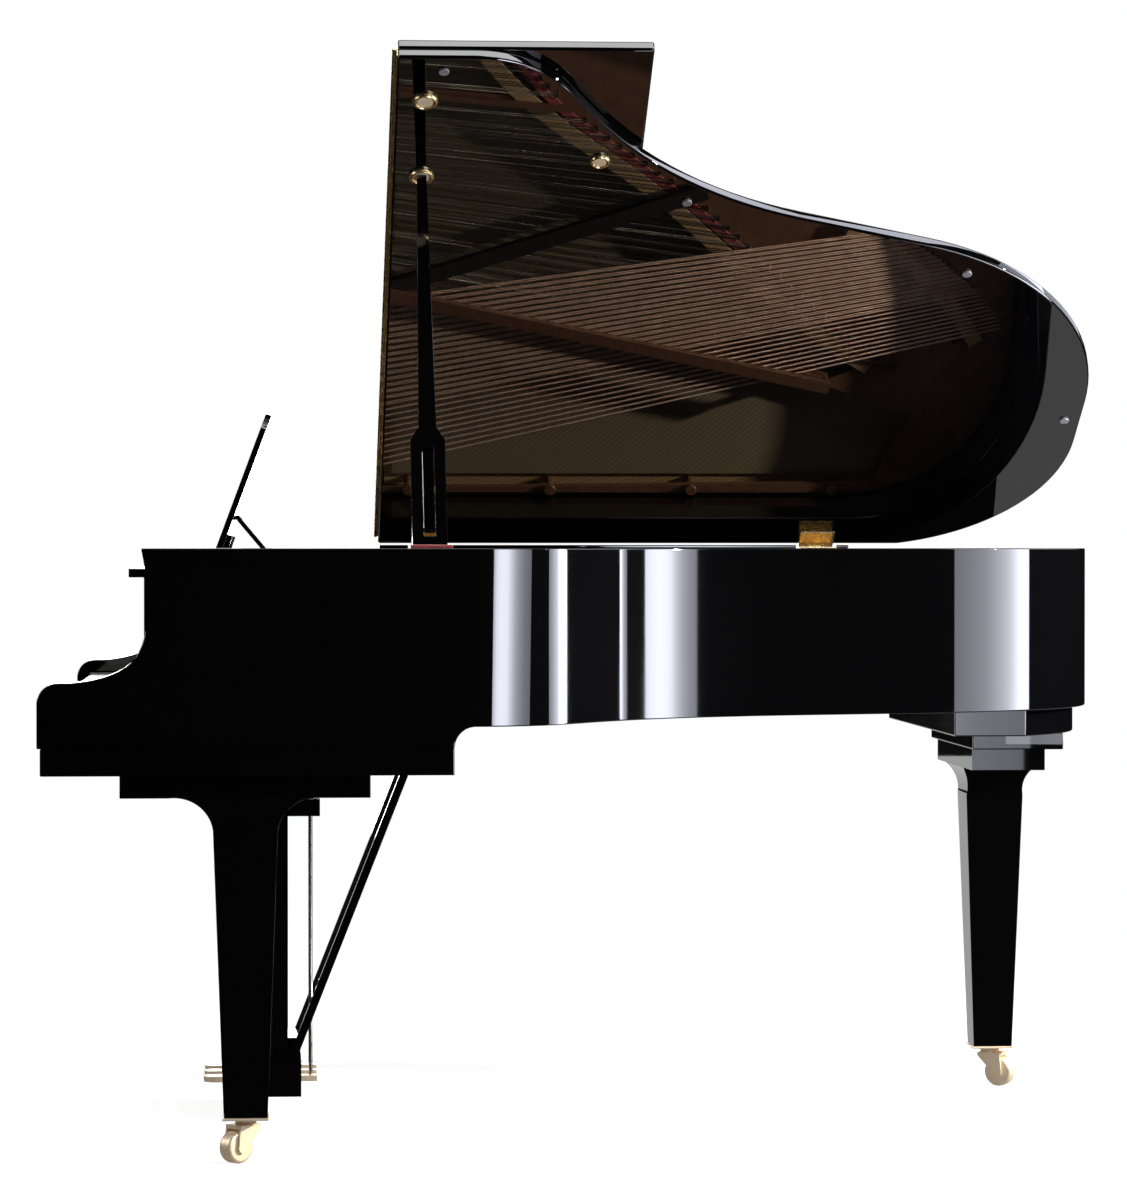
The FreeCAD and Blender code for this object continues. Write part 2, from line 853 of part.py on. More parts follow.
def keys_of(pitch):
    keys = []
    for key_pitch, head, tail in key_places():
        if key_pitch == pitch:
            keys.append(white_key(head, tail) if head else black_key(tail))
    return group(keys)


def cross_rail(y, width, z0, z1):
    return block(-half_keyboard, half_keyboard, y - width / 2, y + width / 2, z0, z1)


def key_frame():
    """Three rails on slats, with the brackets and the board that carry the hammers."""
    slat_top = bed_top + frame_board
    ridge_bottom = key_bottom - balance_ridge
    pieces = [cross_rail(front_rail_y, rail_width, slat_top, key_bottom - front_rail_room),
              cross_rail(balance_y, rail_width, slat_top, ridge_bottom),
              cross_rail(balance_y, balance_ridge, ridge_bottom, key_bottom - seat_gap),
              cross_rail(back_rail_y, rail_width, slat_top, key_bottom - back_rail_room)]
    span = 2 * half_keyboard - bracket_width
    front = front_rail_y - rail_width / 2
    for index in range(bracket_count):
        x0 = span * index / (bracket_count - 1) - half_keyboard
        x1 = x0 + bracket_width
        pieces.append(block(x0, x1, front, action_rear_y, bed_top, slat_top))
        pieces.append(block(x0, x1, action_rear_y - bracket_depth, action_rear_y, slat_top, action_bar_z))
    side = hammer_width / 2
    pieces.append(block(wound_first_x - side, plain_last_x + side, action_y - action_bar, action_rear_y,
                        action_bar_z, action_bar_z + action_bar_thickness))
    return group(pieces)


def note_lines():
    return list(wound_lines()) + list(plain_lines())


def hammers():
    base = action_bar_z + action_bar_thickness
    rear = action_y - action_bar
    strike = action_y + shank_length
    face = strike + hammer_length / 2
    back = strike - hammer_length / 2
    top = base + hammer_height
    nose = hammer_length * hammer_nose_share
    outline = [(rear, base), (face, base), (face, top - nose), (strike + nose / 2, top),
               (strike - nose / 2, top), (back, top - nose), (back, base + shank_size), (rear,
                                                                                         base + shank_size)]
    pieces = []
    for start, end in note_lines():
        x = start.x - hammer_width / 2
        pieces.append(polygon([Vector(x, y, z) for y, z in outline]).extrude(X * hammer_width))
    return group(pieces)


def dampers():
    """Felted heads over the strings, on wires that stand on one lifting rail."""
    rail_top = damper_rail_z + damper_rail_size
    pieces = [block(wound_first_x, plain_last_x, damper_y - damper_rail_size / 2,
                    damper_y + damper_rail_size / 2,
                    damper_rail_z, rail_top)]
    steps = plain_note_count - 1 + break_step_count * len(break_notes)
    wire_step = (plain_last_x - plain_first_x) / steps / 2
    for note, (start, end) in enumerate(note_lines()[:damper_count]):
        x = start.x + (end.x - start.x) * (damper_y - start.y) / (end.y - start.y)
        base = start.z + damper_seat + plain_radius
        if note < wound_note_count:
            radius = wound_radius if note < wound_single_count else wound_pair_radius
            base = start.z + damper_seat + 2 * radius - wound_radius
        wire = x + wire_step
        head = block(x - damper_width / 2, wire + damper_wire / 2, damper_y - damper_length / 2,
                     damper_y + damper_length / 2, base, base + damper_height)
        stem = block(wire - damper_wire / 2, wire + damper_wire / 2, damper_y - damper_wire / 2,
                     damper_y + damper_wire / 2, rail_top, base)
        pieces.append(head.fuse(stem))
    return group(pieces)


# Fallboard and music desk
def fallboard():
    panel = block(-fall_half_width, fall_half_width, fall_front_y, fall_rear_y, fall_bottom, fall_top)
    lip = block(-fall_half_width, fall_half_width, fall_lip_y, fall_front_y, fall_top - fall_lip_thickness,
                fall_top)
    board = panel.fuse(lip)
    for hand in (-1, 1):
        start = Vector(hand * fall_half_width, fall_pivot_y, fall_pivot_z)
        end = Vector(hand * (arm_inner - seat_gap), fall_pivot_y, fall_pivot_z)
        board = board.fuse(rod(start, end, fall_pin_radius))
    return board.removeSplitter()


def desk_rails():
    inside = arm_inner - desk_rail_width
    return group([block(inside, arm_inner, desk_rail_front_y, desk_rail_rear_y, desk_rail_bottom,
                        desk_rail_top),
                  block(-arm_inner, -inside, desk_rail_front_y, desk_rail_rear_y, desk_rail_bottom,
                        desk_rail_top)])


def desk_hinges():
    return [hand * (desk_half_width - desk_round) for hand in (-1, 1)]


def desk_tray():
    """The sliding tray, with a pair of ears and a pin for each hinge of the desk."""
    tray = block(-tray_half_width, tray_half_width, tray_front_y, tray_rear_y, desk_rail_top, tray_top)
    reach = desk_ear_width / 2 + desk_ear_gap
    round_ear = desk_ear / 2 - desk_ear_gap
    for x in desk_hinges():
        for hand in (-1, 1):
            inner = x + hand * reach
            outer = inner + hand * desk_ear_width / 2
            ear = block(min(inner, outer), max(inner, outer), desk_hinge_y - round_ear,
                        desk_hinge_y + round_ear,
                        tray_top, desk_hinge_z)
            tray = tray.fuse(ear).fuse(rod(desk_axis(inner), desk_axis(outer), round_ear))
        tray = tray.fuse(rod(desk_axis(x - reach), desk_axis(x + reach), desk_pin_radius))
    return tray.removeSplitter()


def desk_axis(x):
    """A point on the desk's hinge axis."""
    return Vector(x, desk_hinge_y, desk_hinge_z)


def lean_desk(shape):
    """Turns a shape drawn with the desk upright to the desk's lean."""
    return turned(shape, desk_axis(0), X, -desk_lean)


def desk_panel():
    front = desk_hinge_y - desk_ear / 2 - desk_thickness
    base = desk_hinge_z + desk_foot
    top = desk_hinge_z + desk_length
    panel = block(-desk_half_width, desk_half_width, front, front + desk_thickness, base, top)
    corners = [edge for edge in panel.Edges if edge.BoundBox.ZMin > top - desk_foot
               and edge.BoundBox.XLength < desk_foot
               and edge.BoundBox.YLength > desk_thickness / 2]
    panel = panel.makeFillet(desk_round, corners)
    for x in desk_hinges():
        ear = block(x - desk_ear_width / 2, x + desk_ear_width / 2, front + desk_thickness, desk_hinge_y,
                    base,
                    desk_hinge_z + desk_ear * 2)
        hub = rod(desk_axis(x - desk_ear_width / 2), desk_axis(x + desk_ear_width / 2), desk_ear / 2)
        bore = rod(desk_axis(x - desk_ear_width), desk_axis(x + desk_ear_width),
                   desk_pin_radius + hinge_bore_gap)
        panel = panel.fuse(ear).fuse(hub).cut(bore)
    return lean_desk(panel.removeSplitter())


def strut_pivot():
    up = Vector(0, desk_hinge_y - desk_ear / 2 + strut_pivot_back, desk_hinge_z + strut_pivot_up)
    spin = FreeCAD.Rotation(X, -desk_lean)
    return desk_axis(0) + spin.multVec(up - desk_axis(0))


def desk_strut():
    """Two legs that hold the desk up from behind, on one axis."""
    pivot = strut_pivot()
    slope = math.radians(desk_strut_drop)
    ahead = Vector(0, math.cos(slope), -math.sin(slope))
    drop = pivot.z - tray_top - seat_gap - desk_strut_thickness / 2 * math.cos(slope)
    strut_length = drop / math.sin(slope)
    pieces = []
    for hand in (-1, 1):
        x = hand * desk_strut_x
        start = Vector(x - desk_strut_width / 2, pivot.y, pivot.z)
        boss = rod(start, start + X * desk_strut_width, strut_boss)
        across = Vector(0, ahead.z, -ahead.y) * (desk_strut_thickness / 2)
        foot = start + ahead * strut_length
        bar = polygon([start + across, foot + across, foot - across,
                       start - across]).extrude(X * desk_strut_width)
        pieces.append(boss.fuse(bar))
    return group(pieces)


# Lid, flap, hinges and prop
def open_lid(shape):
    """Turns a shape drawn on the shut lid to the open lid."""
    return turned(shape, Vector(hinge_x, 0, hinge_z), Y, -lid_open)


def lid_main():
    front = flap_axis_y + flap_joint_gap
    lid = moved(case_area(-lid_overhang, front - lid_shift, lid_under, lid_top), Y * lid_shift)
    keep = block(lid_bass_inset - half_case, case_width, front, 2 * tail_y, lid_under, lid_top)
    return open_lid(lid.common(keep))


def flap_block():
    return block(lid_bass_inset - half_case, half_case + lid_overhang, flap_front_y,
                 flap_axis_y - flap_joint_gap,
                 lid_under, lid_top)


def lid_flap():
    """The front flap, folded right over on to the lid."""
    folded = turned(flap_block(), Vector(0, flap_axis_y, flap_axis_z), X, -180)
    return open_lid(folded)


def flap_hinge():
    start = Vector(lid_bass_inset - half_case, flap_axis_y, flap_axis_z)
    barrel = rod(start, start + X * (case_width - lid_bass_inset + lid_overhang), flap_barrel)
    front = flap_axis_y + flap_joint_gap
    leaf = block(start.x, half_case + lid_overhang, front - flap_leaf, front, lid_top - flap_leaf_height,
                 lid_top)
    web = block(start.x, half_case + lid_overhang, flap_axis_y, front, lid_top - flap_leaf, lid_top)
    return open_lid(barrel.fuse(leaf).fuse(web).removeSplitter())


def knuckle(y0, y1, radius):
    return rod(Vector(hinge_x, y0, hinge_z), Vector(hinge_x, y1, hinge_z), radius)


def lid_hinge_fixed():
    """Leaves on the rim, each with two outer knuckles and the hinge's pin."""
    third = hinge_length / 3
    pieces = []
    for middle in lid_hinge_y:
        y0 = middle - hinge_length / 2
        leaf = block(-half_case, hinge_x + hinge_leaf_reach, y0, y0 + hinge_length, rim_top,
                     rim_top + hinge_leaf)
        for start in (y0, y0 + 2 * third):
            tongue = block(hinge_x, -half_case, start, start + third, rim_top, rim_top + hinge_leaf)
            leaf = leaf.fuse(tongue).fuse(knuckle(start, start + third, hinge_barrel))
        pieces.append(leaf.fuse(knuckle(y0, y0 + hinge_length, hinge_pin)).removeSplitter())
    return group(pieces)


def lid_hinge_moving():
    """Leaves under the lid, each with the middle knuckle."""
    third = hinge_length / 3
    pieces = []
    for middle in lid_hinge_y:
        y0 = middle - hinge_length / 2
        y1 = y0 + third + hinge_knuckle_gap
        y2 = y0 + 2 * third - hinge_knuckle_gap
        leaf = block(lid_bass_inset - half_case, hinge_x + hinge_leaf_reach, y0, y0 + hinge_length,
                     lid_under - hinge_leaf, lid_under)
        tongue = block(hinge_x, lid_bass_inset - half_case, y1, y2, lid_under - hinge_leaf, lid_under)
        leaf = leaf.fuse(tongue).fuse(knuckle(y1, y2, hinge_barrel))
        leaf = leaf.cut(knuckle(y1 - overrun, y2 + overrun, hinge_pin + hinge_bore_gap))
        pieces.append(open_lid(leaf.removeSplitter()))
    return group(pieces)


def cup_place(run, y):
    """A point on the shut lid's underside, its run from the hinge axis."""
    return Vector(hinge_x + run, y, lid_under)


def prop_cups():
    cups = []
    for run, y, radius in ((main_cup_run, prop_y, cup_radius), (half_cup_run, prop_y, cup_radius),
                           (far_cup_run, far_cup_y, small_cup_radius)):
        place = cup_place(run, y)
        cups.append(open_lid(rod(place - Z * cup_height, place, radius)))
    return group(cups)


def prop_direction():
    """Pivot of the prop, its length up to the main cup, and its lean from upright."""
    spin = FreeCAD.Rotation(Y, -lid_open)
    axis = Vector(hinge_x, prop_y, hinge_z)
    tip = axis + spin.multVec(cup_place(main_cup_run, prop_y) - Z * (cup_height + prop_tip_gap) - axis)
    pivot = Vector(prop_pivot_x, prop_y, prop_pivot_z)
    run = tip - pivot
    return pivot, run.Length, math.degrees(math.atan2(run.x, run.z))


def prop_axis():
    """The way the prop's pin points, out to the rim: square to the prop, raised and folded."""
    lean = math.radians(prop_direction()[2])
    heading = math.radians(prop_fold_heading)
    folded = Vector(-math.sin(heading), math.cos(heading), 0)
    axis = folded.cross(Vector(math.sin(lean), 0, math.cos(lean)))
    return axis / axis.Length


def place_prop(shape):
    """Moves a shape drawn upright on the origin to the raised prop."""
    pivot, length, lean = prop_direction()
    return moved(turned(shape, Vector(0, 0, 0), Y, lean), pivot)


def prop_stick():
    pivot, length, lean = prop_direction()
    half = prop_thickness / 2
    shoulder = prop_base_length + prop_shoulder
    outline = [(-prop_base_width, -prop_base_drop), (-prop_base_width, prop_base_length),
               (-prop_stick_width, shoulder), (-prop_tip_width, length), (prop_tip_width, length),
               (prop_stick_width, shoulder), (prop_base_width, prop_base_length), (prop_base_width,
                                                                                   -prop_base_drop)]
    stick = polygon([Vector(-half, y / 2, z) for y, z in outline]).extrude(X * prop_thickness)
    taper = [Vector(-half, -prop_base_width, -prop_base_drop),
             Vector(half, -prop_base_width, -prop_base_drop),
             Vector(half, -prop_base_width, shoulder), Vector(prop_tip_width / 2, -prop_base_width, length),
             Vector(-prop_tip_width / 2, -prop_base_width, length), Vector(-half, -prop_base_width, shoulder)]
    stick = stick.common(polygon(taper).extrude(Y * 2 * prop_base_width))
    slot = block(-prop_thickness, prop_thickness, -prop_slot_width / 2, prop_slot_width / 2, prop_slot_start,
                 prop_slot_end)
    stick = stick.cut(slot)
    pin = rod(Vector(0, -prop_slot_width / 2, half_pivot), Vector(0, prop_slot_width / 2, half_pivot),
              half_pin_radius)
    axis = prop_axis() * prop_base_width
    bore = rod(pivot - axis, pivot + axis, prop_pin_radius + hinge_bore_gap)
    return place_prop(stick.fuse(pin)).cut(bore).removeSplitter()


def half_prop():
    """The short stick that lies in the prop's slot."""
    half = half_thickness / 2
    bar = block(-half, half, -half_width / 2, half_width / 2, half_pivot, prop_slot_end - fork_gap)
    eye = rod(Vector(0, -half_width / 2, half_pivot), Vector(0, half_width / 2, half_pivot), half)
    bore = rod(Vector(0, -half_width, half_pivot), Vector(0, half_width, half_pivot),
               half_pin_radius + hinge_bore_gap)
    return place_prop(bar.fuse(eye).cut(bore).removeSplitter())


def prop_bracket():
    """A plate on the rim's inner face, with the prop's pin standing out of it at a slant."""
    pivot = prop_direction()[0]
    axis = prop_axis()
    front = arm_inner - bracket_plate
    foot = pivot + axis * ((front - pivot.x) / axis.x)
    plate = block(front, arm_inner, foot.y - bracket_length / 2, foot.y + bracket_length / 2,
                  foot.z - bracket_height / 2, foot.z + bracket_height / 2)
    pin = rod(pivot - axis * prop_pin_end, foot + axis * (bracket_plate / 2), prop_pin_radius)
    return plate.fuse(pin).common(case_area(rim_thickness, nose_y, rim_bottom, rim_top)).removeSplitter()


# Legs and casters
def leg_face(half_top, cove_width, half_shaft):
    """Half outlines of a leg mirrored to one face, drawn in X and Z."""
    slab = leg_top - leg_slab
    neck = slab - leg_cove_height
    foot = leg_shaft_bottom / 2
    slant = math.sqrt(0.5)
    edges = []
    for hand in (1, -1):
        top = Vector(hand * half_top, 0, leg_top)
        under = Vector(hand * half_top, 0, slab)
        start = Vector(hand * (half_shaft + cove_width), 0, slab)
        middle = Vector(hand * (half_shaft + cove_width * (1 - slant)), 0, neck + leg_cove_height * slant)
        end = Vector(hand * half_shaft, 0, neck)
        sole = Vector(hand * foot, 0, leg_bottom)
        edges += [Part.makeLine(top, under), Part.Arc(start, middle, end).toShape(), Part.makeLine(end, sole)]
        if half_top > half_shaft + cove_width:
            edges.append(Part.makeLine(under, start))
    edges.append(Part.makeLine(Vector(-half_top, 0, leg_top), Vector(half_top, 0, leg_top)))
    edges.append(Part.makeLine(Vector(-foot, 0, leg_bottom), Vector(foot, 0, leg_bottom)))
    return Part.Face(Part.Wire(Part.__sortEdges__(edges)))


def leg():
    """A tapered square leg under a coved top, long along X, its axis on the origin."""
    half_shaft = leg_shaft_top / 2
    long_side = leg_face(leg_top_length / 2, leg_cove_width, half_shaft)
    short_side = leg_face(leg_top_width / 2, leg_top_width / 2 - half_shaft, half_shaft)
    reach = leg_top_length
    body = moved(long_side, Y * -reach).extrude(Y * 2 * reach)
    cross = turned(moved(short_side, Y * -reach).extrude(Y * 2 * reach), Vector(0, 0, 0), Z, 90)
    return body.common(cross)


def leg_places():
    return [Vector(leg_x, front_leg_y, 0), Vector(tail_leg_x, tail_leg_y, 0), Vector(-leg_x, front_leg_y, 0)]


def front_legs():
    long_y = turned(leg(), Vector(0, 0, 0), Z, 90)
    places = leg_places()
    return group([moved(long_y, places[0]), moved(long_y, places[2])])


def tail_leg():
    return moved(leg(), leg_places()[1])


def caster_sockets():
    half = leg_shaft_bottom / 2 + socket_margin
    plate = block(-half, half, -half, half, leg_bottom - socket_plate, leg_bottom)
    return group([moved(plate, place) for place in leg_places()])


def place_caster(shape, index):
    """Moves a caster drawn on the origin, trailing to the front, to its leg."""
    return moved(turned(shape, Vector(0, 0, 0), Z, caster_turns[index]), leg_places()[index])


def caster_fork(index):
    top = leg_bottom - socket_plate - seat_gap
    crown = 2 * wheel_radius + fork_room
    inner = wheel_width / 2 + fork_gap
    outer = inner + fork_cheek
    axle = Vector(0, -wheel_trail, wheel_radius)
    neck = rod(Vector(0, 0, crown), Vector(0, 0, top), fork_neck_radius)
    fork = neck.fuse(block(-outer, outer, -wheel_trail - fork_stem, fork_neck_radius, crown,
                           crown + fork_plate))
    for hand in (-1, 1):
        x0 = min(hand * inner, hand * outer)
        rim = wheel_bore + fork_cheek
        cheek = polygon([Vector(x0, fork_neck_radius, crown), Vector(x0, -wheel_trail - fork_stem, crown),
                         Vector(x0, axle.y - rim, axle.z), Vector(x0, axle.y + rim, axle.z)])
        fork = fork.fuse(cheek.extrude(X * fork_cheek))
        fork = fork.fuse(rod(Vector(x0, axle.y, axle.z), Vector(x0 + fork_cheek, axle.y, axle.z), rim))
    fork = fork.fuse(rod(axle - X * outer, axle + X * outer, wheel_bore))
    return place_caster(fork.removeSplitter(), index)


def caster_wheel(index):
    axle = Vector(0, -wheel_trail, wheel_radius)
    wheel = rod(axle - X * (wheel_width / 2), axle + X * (wheel_width / 2), wheel_radius)
    rims = [edge for edge in wheel.Edges if edge.Curve.TypeId == "Part::GeomCircle"]
    wheel = wheel.makeFillet(wheel_round, rims)
    wheel = wheel.cut(rod(axle - X * wheel_width, axle + X * wheel_width, wheel_bore + hinge_bore_gap))
    return place_caster(wheel, index)


# Lyre, pedals and rods
def pedal_xs():
    return [-pedal_spacing, 0, pedal_spacing]


def lyre():
    """Head under the key bed, two posts, the pedal box with its axle, and two braces."""
    front = lyre_y - post_depth / 2
    rear = lyre_y + post_depth / 2
    half = lyre_head_length / 2
    head = block(-half, half, lyre_y - lyre_head_depth / 2, lyre_y + lyre_head_depth / 2, guide_bottom,
                 bed_bottom)
    guide = block(-half, half, lyre_y, guide_rear_y, guide_bottom, guide_bottom + guide_height)
    head = head.fuse(guide)
    for x in pedal_xs():
        hole = rod(Vector(x, rod_y, guide_bottom - overrun), Vector(x, rod_y, bed_bottom),
                   rod_radius + rod_guide_gap)
        head = head.cut(hole)
    pieces = [head.removeSplitter()]
    inner = post_gap / 2
    side = box_width / 2
    for hand in (-1, 1):
        x0 = min(hand * inner, hand * (inner + post_width))
        pieces.append(block(x0, x0 + post_width, front, rear, box_top, guide_bottom))
        foot = Vector(hand * brace_x, brace_foot_y, box_top)
        run = Vector(hand * brace_x, brace_top_y, bed_bottom) - foot
        across = Vector(0, -run.z, run.y) * (brace_size / 2 / run.Length)
        start = foot - run
        end = foot + run * 2
        bar = polygon([start + across, end + across, end - across, start - across]).extrude(X * brace_size)
        keep = block(-side, side, rear, -brace_top_y, box_top, bed_bottom)
        pieces.append(moved(bar, X * (-brace_size / 2)).common(keep))
    toe = polygon([Vector(-toe_half_width, rear, box_top), Vector(-toe_half_width, box_rear_y, box_top),
                   Vector(-toe_half_width, box_rear_y - toe_slope, box_top + toe_height),
                   Vector(-toe_half_width, rear, box_top + toe_height)])
    pieces.append(toe.extrude(X * 2 * toe_half_width))
    box = block(-side, side, box_front_y, box_rear_y, box_bottom, box_top)
    box = box.cut(block(box_board - side, side - box_board, box_front_y - overrun, box_rear_y + overrun,
                        box_bottom + box_board, box_top - box_board))
    axle = rod(Vector(-side, pedal_pivot_y, pedal_z), Vector(side, pedal_pivot_y, pedal_z), pedal_axle)
    pieces.append(box.fuse(axle).removeSplitter())
    return group(pieces)


def pedal(index):
    """A pedal with a rounded paddle in front of the box and a tail under its rod."""
    x = pedal_xs()[index]
    bottom = pedal_z - pedal_thickness / 2
    toe = pedal_width / 2
    neck = pedal_neck / 2
    paddle_y = pedal_front_y + toe
    arc = Part.Arc(Vector(x - toe, paddle_y, bottom), Vector(x, pedal_front_y, bottom),
                   Vector(x + toe, paddle_y, bottom))
    corners = [Vector(x + toe, paddle_y, bottom), Vector(x + toe, paddle_y + toe, bottom),
               Vector(x + neck, box_front_y, bottom), Vector(x + neck, pedal_rear_y, bottom),
               Vector(x - neck, pedal_rear_y, bottom), Vector(x - neck, box_front_y, bottom),
               Vector(x - toe, paddle_y + toe, bottom), Vector(x - toe, paddle_y, bottom)]
    edges = [arc.toShape()] + [Part.makeLine(a, b) for a, b in zip(corners, corners[1:])]
    bar = Part.Face(Part.Wire(Part.__sortEdges__(edges))).extrude(Z * pedal_thickness)
    hub = rod(Vector(x - neck, pedal_pivot_y, pedal_z), Vector(x + neck, pedal_pivot_y, pedal_z), pedal_boss)
    bore = rod(Vector(x - toe, pedal_pivot_y, pedal_z), Vector(x + toe, pedal_pivot_y, pedal_z),
               pedal_axle + hinge_bore_gap)
    return bar.fuse(hub).cut(bore).removeSplitter()


def pedal_rod(index):
    x = pedal_xs()[index]
    bottom = pedal_z + pedal_thickness / 2 + seat_gap
    return rod(Vector(x, rod_y, bottom), Vector(x, rod_y, rod_top), rod_radius)


# Every sub-part by name
def all_parts():
    makers = (outer_rim, inner_rim, key_bed, key_slip, key_blocks, case_beams, tail_blocks, pin_block,
              soundboard, bridges, iron_plate, plate_bolts, string_pins, plain_strings, wound_strings,
              key_frame, hammers, dampers, fallboard, desk_rails, desk_tray, desk_panel, desk_strut, lid_main,
              lid_flap, flap_hinge, lid_hinge_fixed, lid_hinge_moving, prop_cups, prop_stick, half_prop,
              prop_bracket, front_legs, tail_leg, caster_sockets, lyre)
    parts = {maker.__name__: maker() for maker in makers}
    for pitch, name in enumerate(key_names):
        parts["keys_" + name] = keys_of(pitch)
    for index, place in enumerate(("treble", "tail", "bass")):
        parts["caster_fork_" + place] = caster_fork(index)
        parts["caster_wheel_" + place] = caster_wheel(index)
    for index, side in enumerate(("left", "middle", "right")):
        parts["pedal_" + side] = pedal(index)
        parts["pedal_rod_" + side] = pedal_rod(index)
    return parts


def main():
    os.makedirs("parts", exist_ok=True)
    for name, shape in all_parts().items():
        shape.exportStep(os.path.join("parts", name + ".step"))


if __name__ == "__main__":
    main()
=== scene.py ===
import json
import math

import bpy
from mathutils import Matrix, Vector


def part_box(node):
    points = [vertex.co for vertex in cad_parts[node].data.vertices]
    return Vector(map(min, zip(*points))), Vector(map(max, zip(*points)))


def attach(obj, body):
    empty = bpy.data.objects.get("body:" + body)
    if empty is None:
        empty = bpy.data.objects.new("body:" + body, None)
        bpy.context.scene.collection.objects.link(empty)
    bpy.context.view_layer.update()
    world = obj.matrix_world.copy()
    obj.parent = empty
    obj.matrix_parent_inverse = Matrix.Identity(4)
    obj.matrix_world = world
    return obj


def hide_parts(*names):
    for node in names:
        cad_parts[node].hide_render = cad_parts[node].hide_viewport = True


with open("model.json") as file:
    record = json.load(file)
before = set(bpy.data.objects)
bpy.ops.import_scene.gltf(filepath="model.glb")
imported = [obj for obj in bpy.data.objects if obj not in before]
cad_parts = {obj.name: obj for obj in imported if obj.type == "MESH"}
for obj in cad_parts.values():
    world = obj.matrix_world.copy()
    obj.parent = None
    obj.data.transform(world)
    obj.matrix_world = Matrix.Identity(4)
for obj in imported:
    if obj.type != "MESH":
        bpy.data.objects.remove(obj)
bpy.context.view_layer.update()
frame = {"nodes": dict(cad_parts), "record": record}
nodes = frame["nodes"]

# A grand piano, lid open on its long prop, in black lacquer. Metres.
# X runs from bass to treble, Y from the player to the tail, Z up from the floor.


# Selection and finishing
def only(obj):
    """Leaves one object selected and active."""
    bpy.ops.object.select_all(action="DESELECT")
    obj.select_set(True)
    bpy.context.view_layer.objects.active = obj


def settle(obj):
    """Puts the object's place, turn and scale into its mesh."""
    only(obj)
    bpy.ops.object.transform_apply(location=True, rotation=True, scale=True)


def shade(obj, degrees=35):
    only(obj)
    bpy.ops.object.shade_smooth_by_angle(angle=math.radians(degrees))


def soften(obj, width, segments, degrees=30):
    """Rounds every edge sharper than the angle; the flat faces keep their own normals."""
    only(obj)
    bevel = obj.modifiers.new("soft_edges", "BEVEL")
    bevel.width = width
    bevel.segments = segments
    bevel.limit_method = "ANGLE"
    bevel.angle_limit = math.radians(degrees)
    bpy.ops.object.modifier_apply(modifier=bevel.name)
    shade(obj)
    level = obj.modifiers.new("flat_faces", "WEIGHTED_NORMAL")
    level.keep_sharp = True
    level.weight = flat_weight
    bpy.ops.object.modifier_apply(modifier=level.name)


def coat(obj, material):
    obj.data.materials.clear()
    obj.data.materials.append(material)


def finish_piece(obj, name, material, body):
    """Names a piece, paints it and fixes it to the body that carries it."""
    obj.name = name
    obj.data.name = name
    coat(obj, material)
    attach(obj, body)
    return obj


def body_of(node):
    for body, members in frame["record"]["behaviour"]["bodies"].items():
        if node in members:
            return body


def merged_copy(node):
    """A copy of a CAD node with its triangles joined into whole faces."""
    mesh = nodes[node].data.copy()
    obj = bpy.data.objects.new("fine_" + node, mesh)
    bpy.context.collection.objects.link(obj)
    only(obj)
    bpy.ops.object.mode_set(mode="EDIT")
    bpy.ops.mesh.select_all(action="SELECT")
    bpy.ops.mesh.remove_doubles(threshold=merge_distance)
    bpy.ops.mesh.dissolve_limited(angle_limit=math.radians(flat_angle))
    bpy.ops.object.mode_set(mode="OBJECT")
    return obj


def dress(node, width, segments, material):
    """Replaces a CAD node by the same shape with soft edges and smooth curves."""
    obj = merged_copy(node)
    if width > 0:
        soften(obj, width, segments)
    else:
        shade(obj)
    finish_piece(obj, "fine_" + node, material, body_of(node))
    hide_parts(node)
    return obj


merge_distance = 0.00001
flat_angle = 0.3
flat_weight = 90


# Shader building
def link(tree, source, target):
    tree.links.new(source, target)


def add_node(tree, kind, **values):
    """A node with the named inputs set."""
    node = tree.nodes.new(kind)
    for name, value in values.items():
        node.inputs[name.replace("_", " ")].default_value = value
    return node


def new_group(name, inputs, outputs):
    """An empty node group with float, vector or colour sockets."""
    kinds = {"value": "NodeSocketFloat", "vector": "NodeSocketVector", "colour": "NodeSocketColor"}
    group = bpy.data.node_groups.new(name, "ShaderNodeTree")
    for label, kind in inputs:
        group.interface.new_socket(name=label, in_out="INPUT", socket_type=kinds[kind])
    for label, kind in outputs:
        group.interface.new_socket(name=label, in_out="OUTPUT", socket_type=kinds[kind])
    return group, group.nodes.new("NodeGroupInput"), group.nodes.new("NodeGroupOutput")


def blend_colours(tree, factor, first, second):
    """A colour mix; each colour is a socket or a plain value."""
    mix = tree.nodes.new("ShaderNodeMix")
    mix.data_type = "RGBA"
    for source, index in ((factor, 0), (first, 6), (second, 7)):
        if isinstance(source, bpy.types.NodeSocket):
            link(tree, source, mix.inputs[index])
        else:
            mix.inputs[index].default_value = source
    return mix.outputs[2]


def spread(tree, value, low, high):
    """Maps a noise value to a range given by sockets or numbers."""
    node = tree.nodes.new("ShaderNodeMapRange")
    node.inputs["From Min"].default_value = noise_low
    node.inputs["From Max"].default_value = noise_high
    link(tree, value, node.inputs["Value"])
    for source, label in ((low, "To Min"), (high, "To Max")):
        if isinstance(source, bpy.types.NodeSocket):
            link(tree, source, node.inputs[label])
        else:
            node.inputs[label].default_value = source
    return node.outputs["Result"]


def noise(tree, vector, scale, detail, roughness=0.5):
    node = add_node(tree, "ShaderNodeTexNoise", Scale=scale, Detail=detail, Roughness=roughness)
    link(tree, vector, node.inputs["Vector"])
    return node.outputs["Fac"]


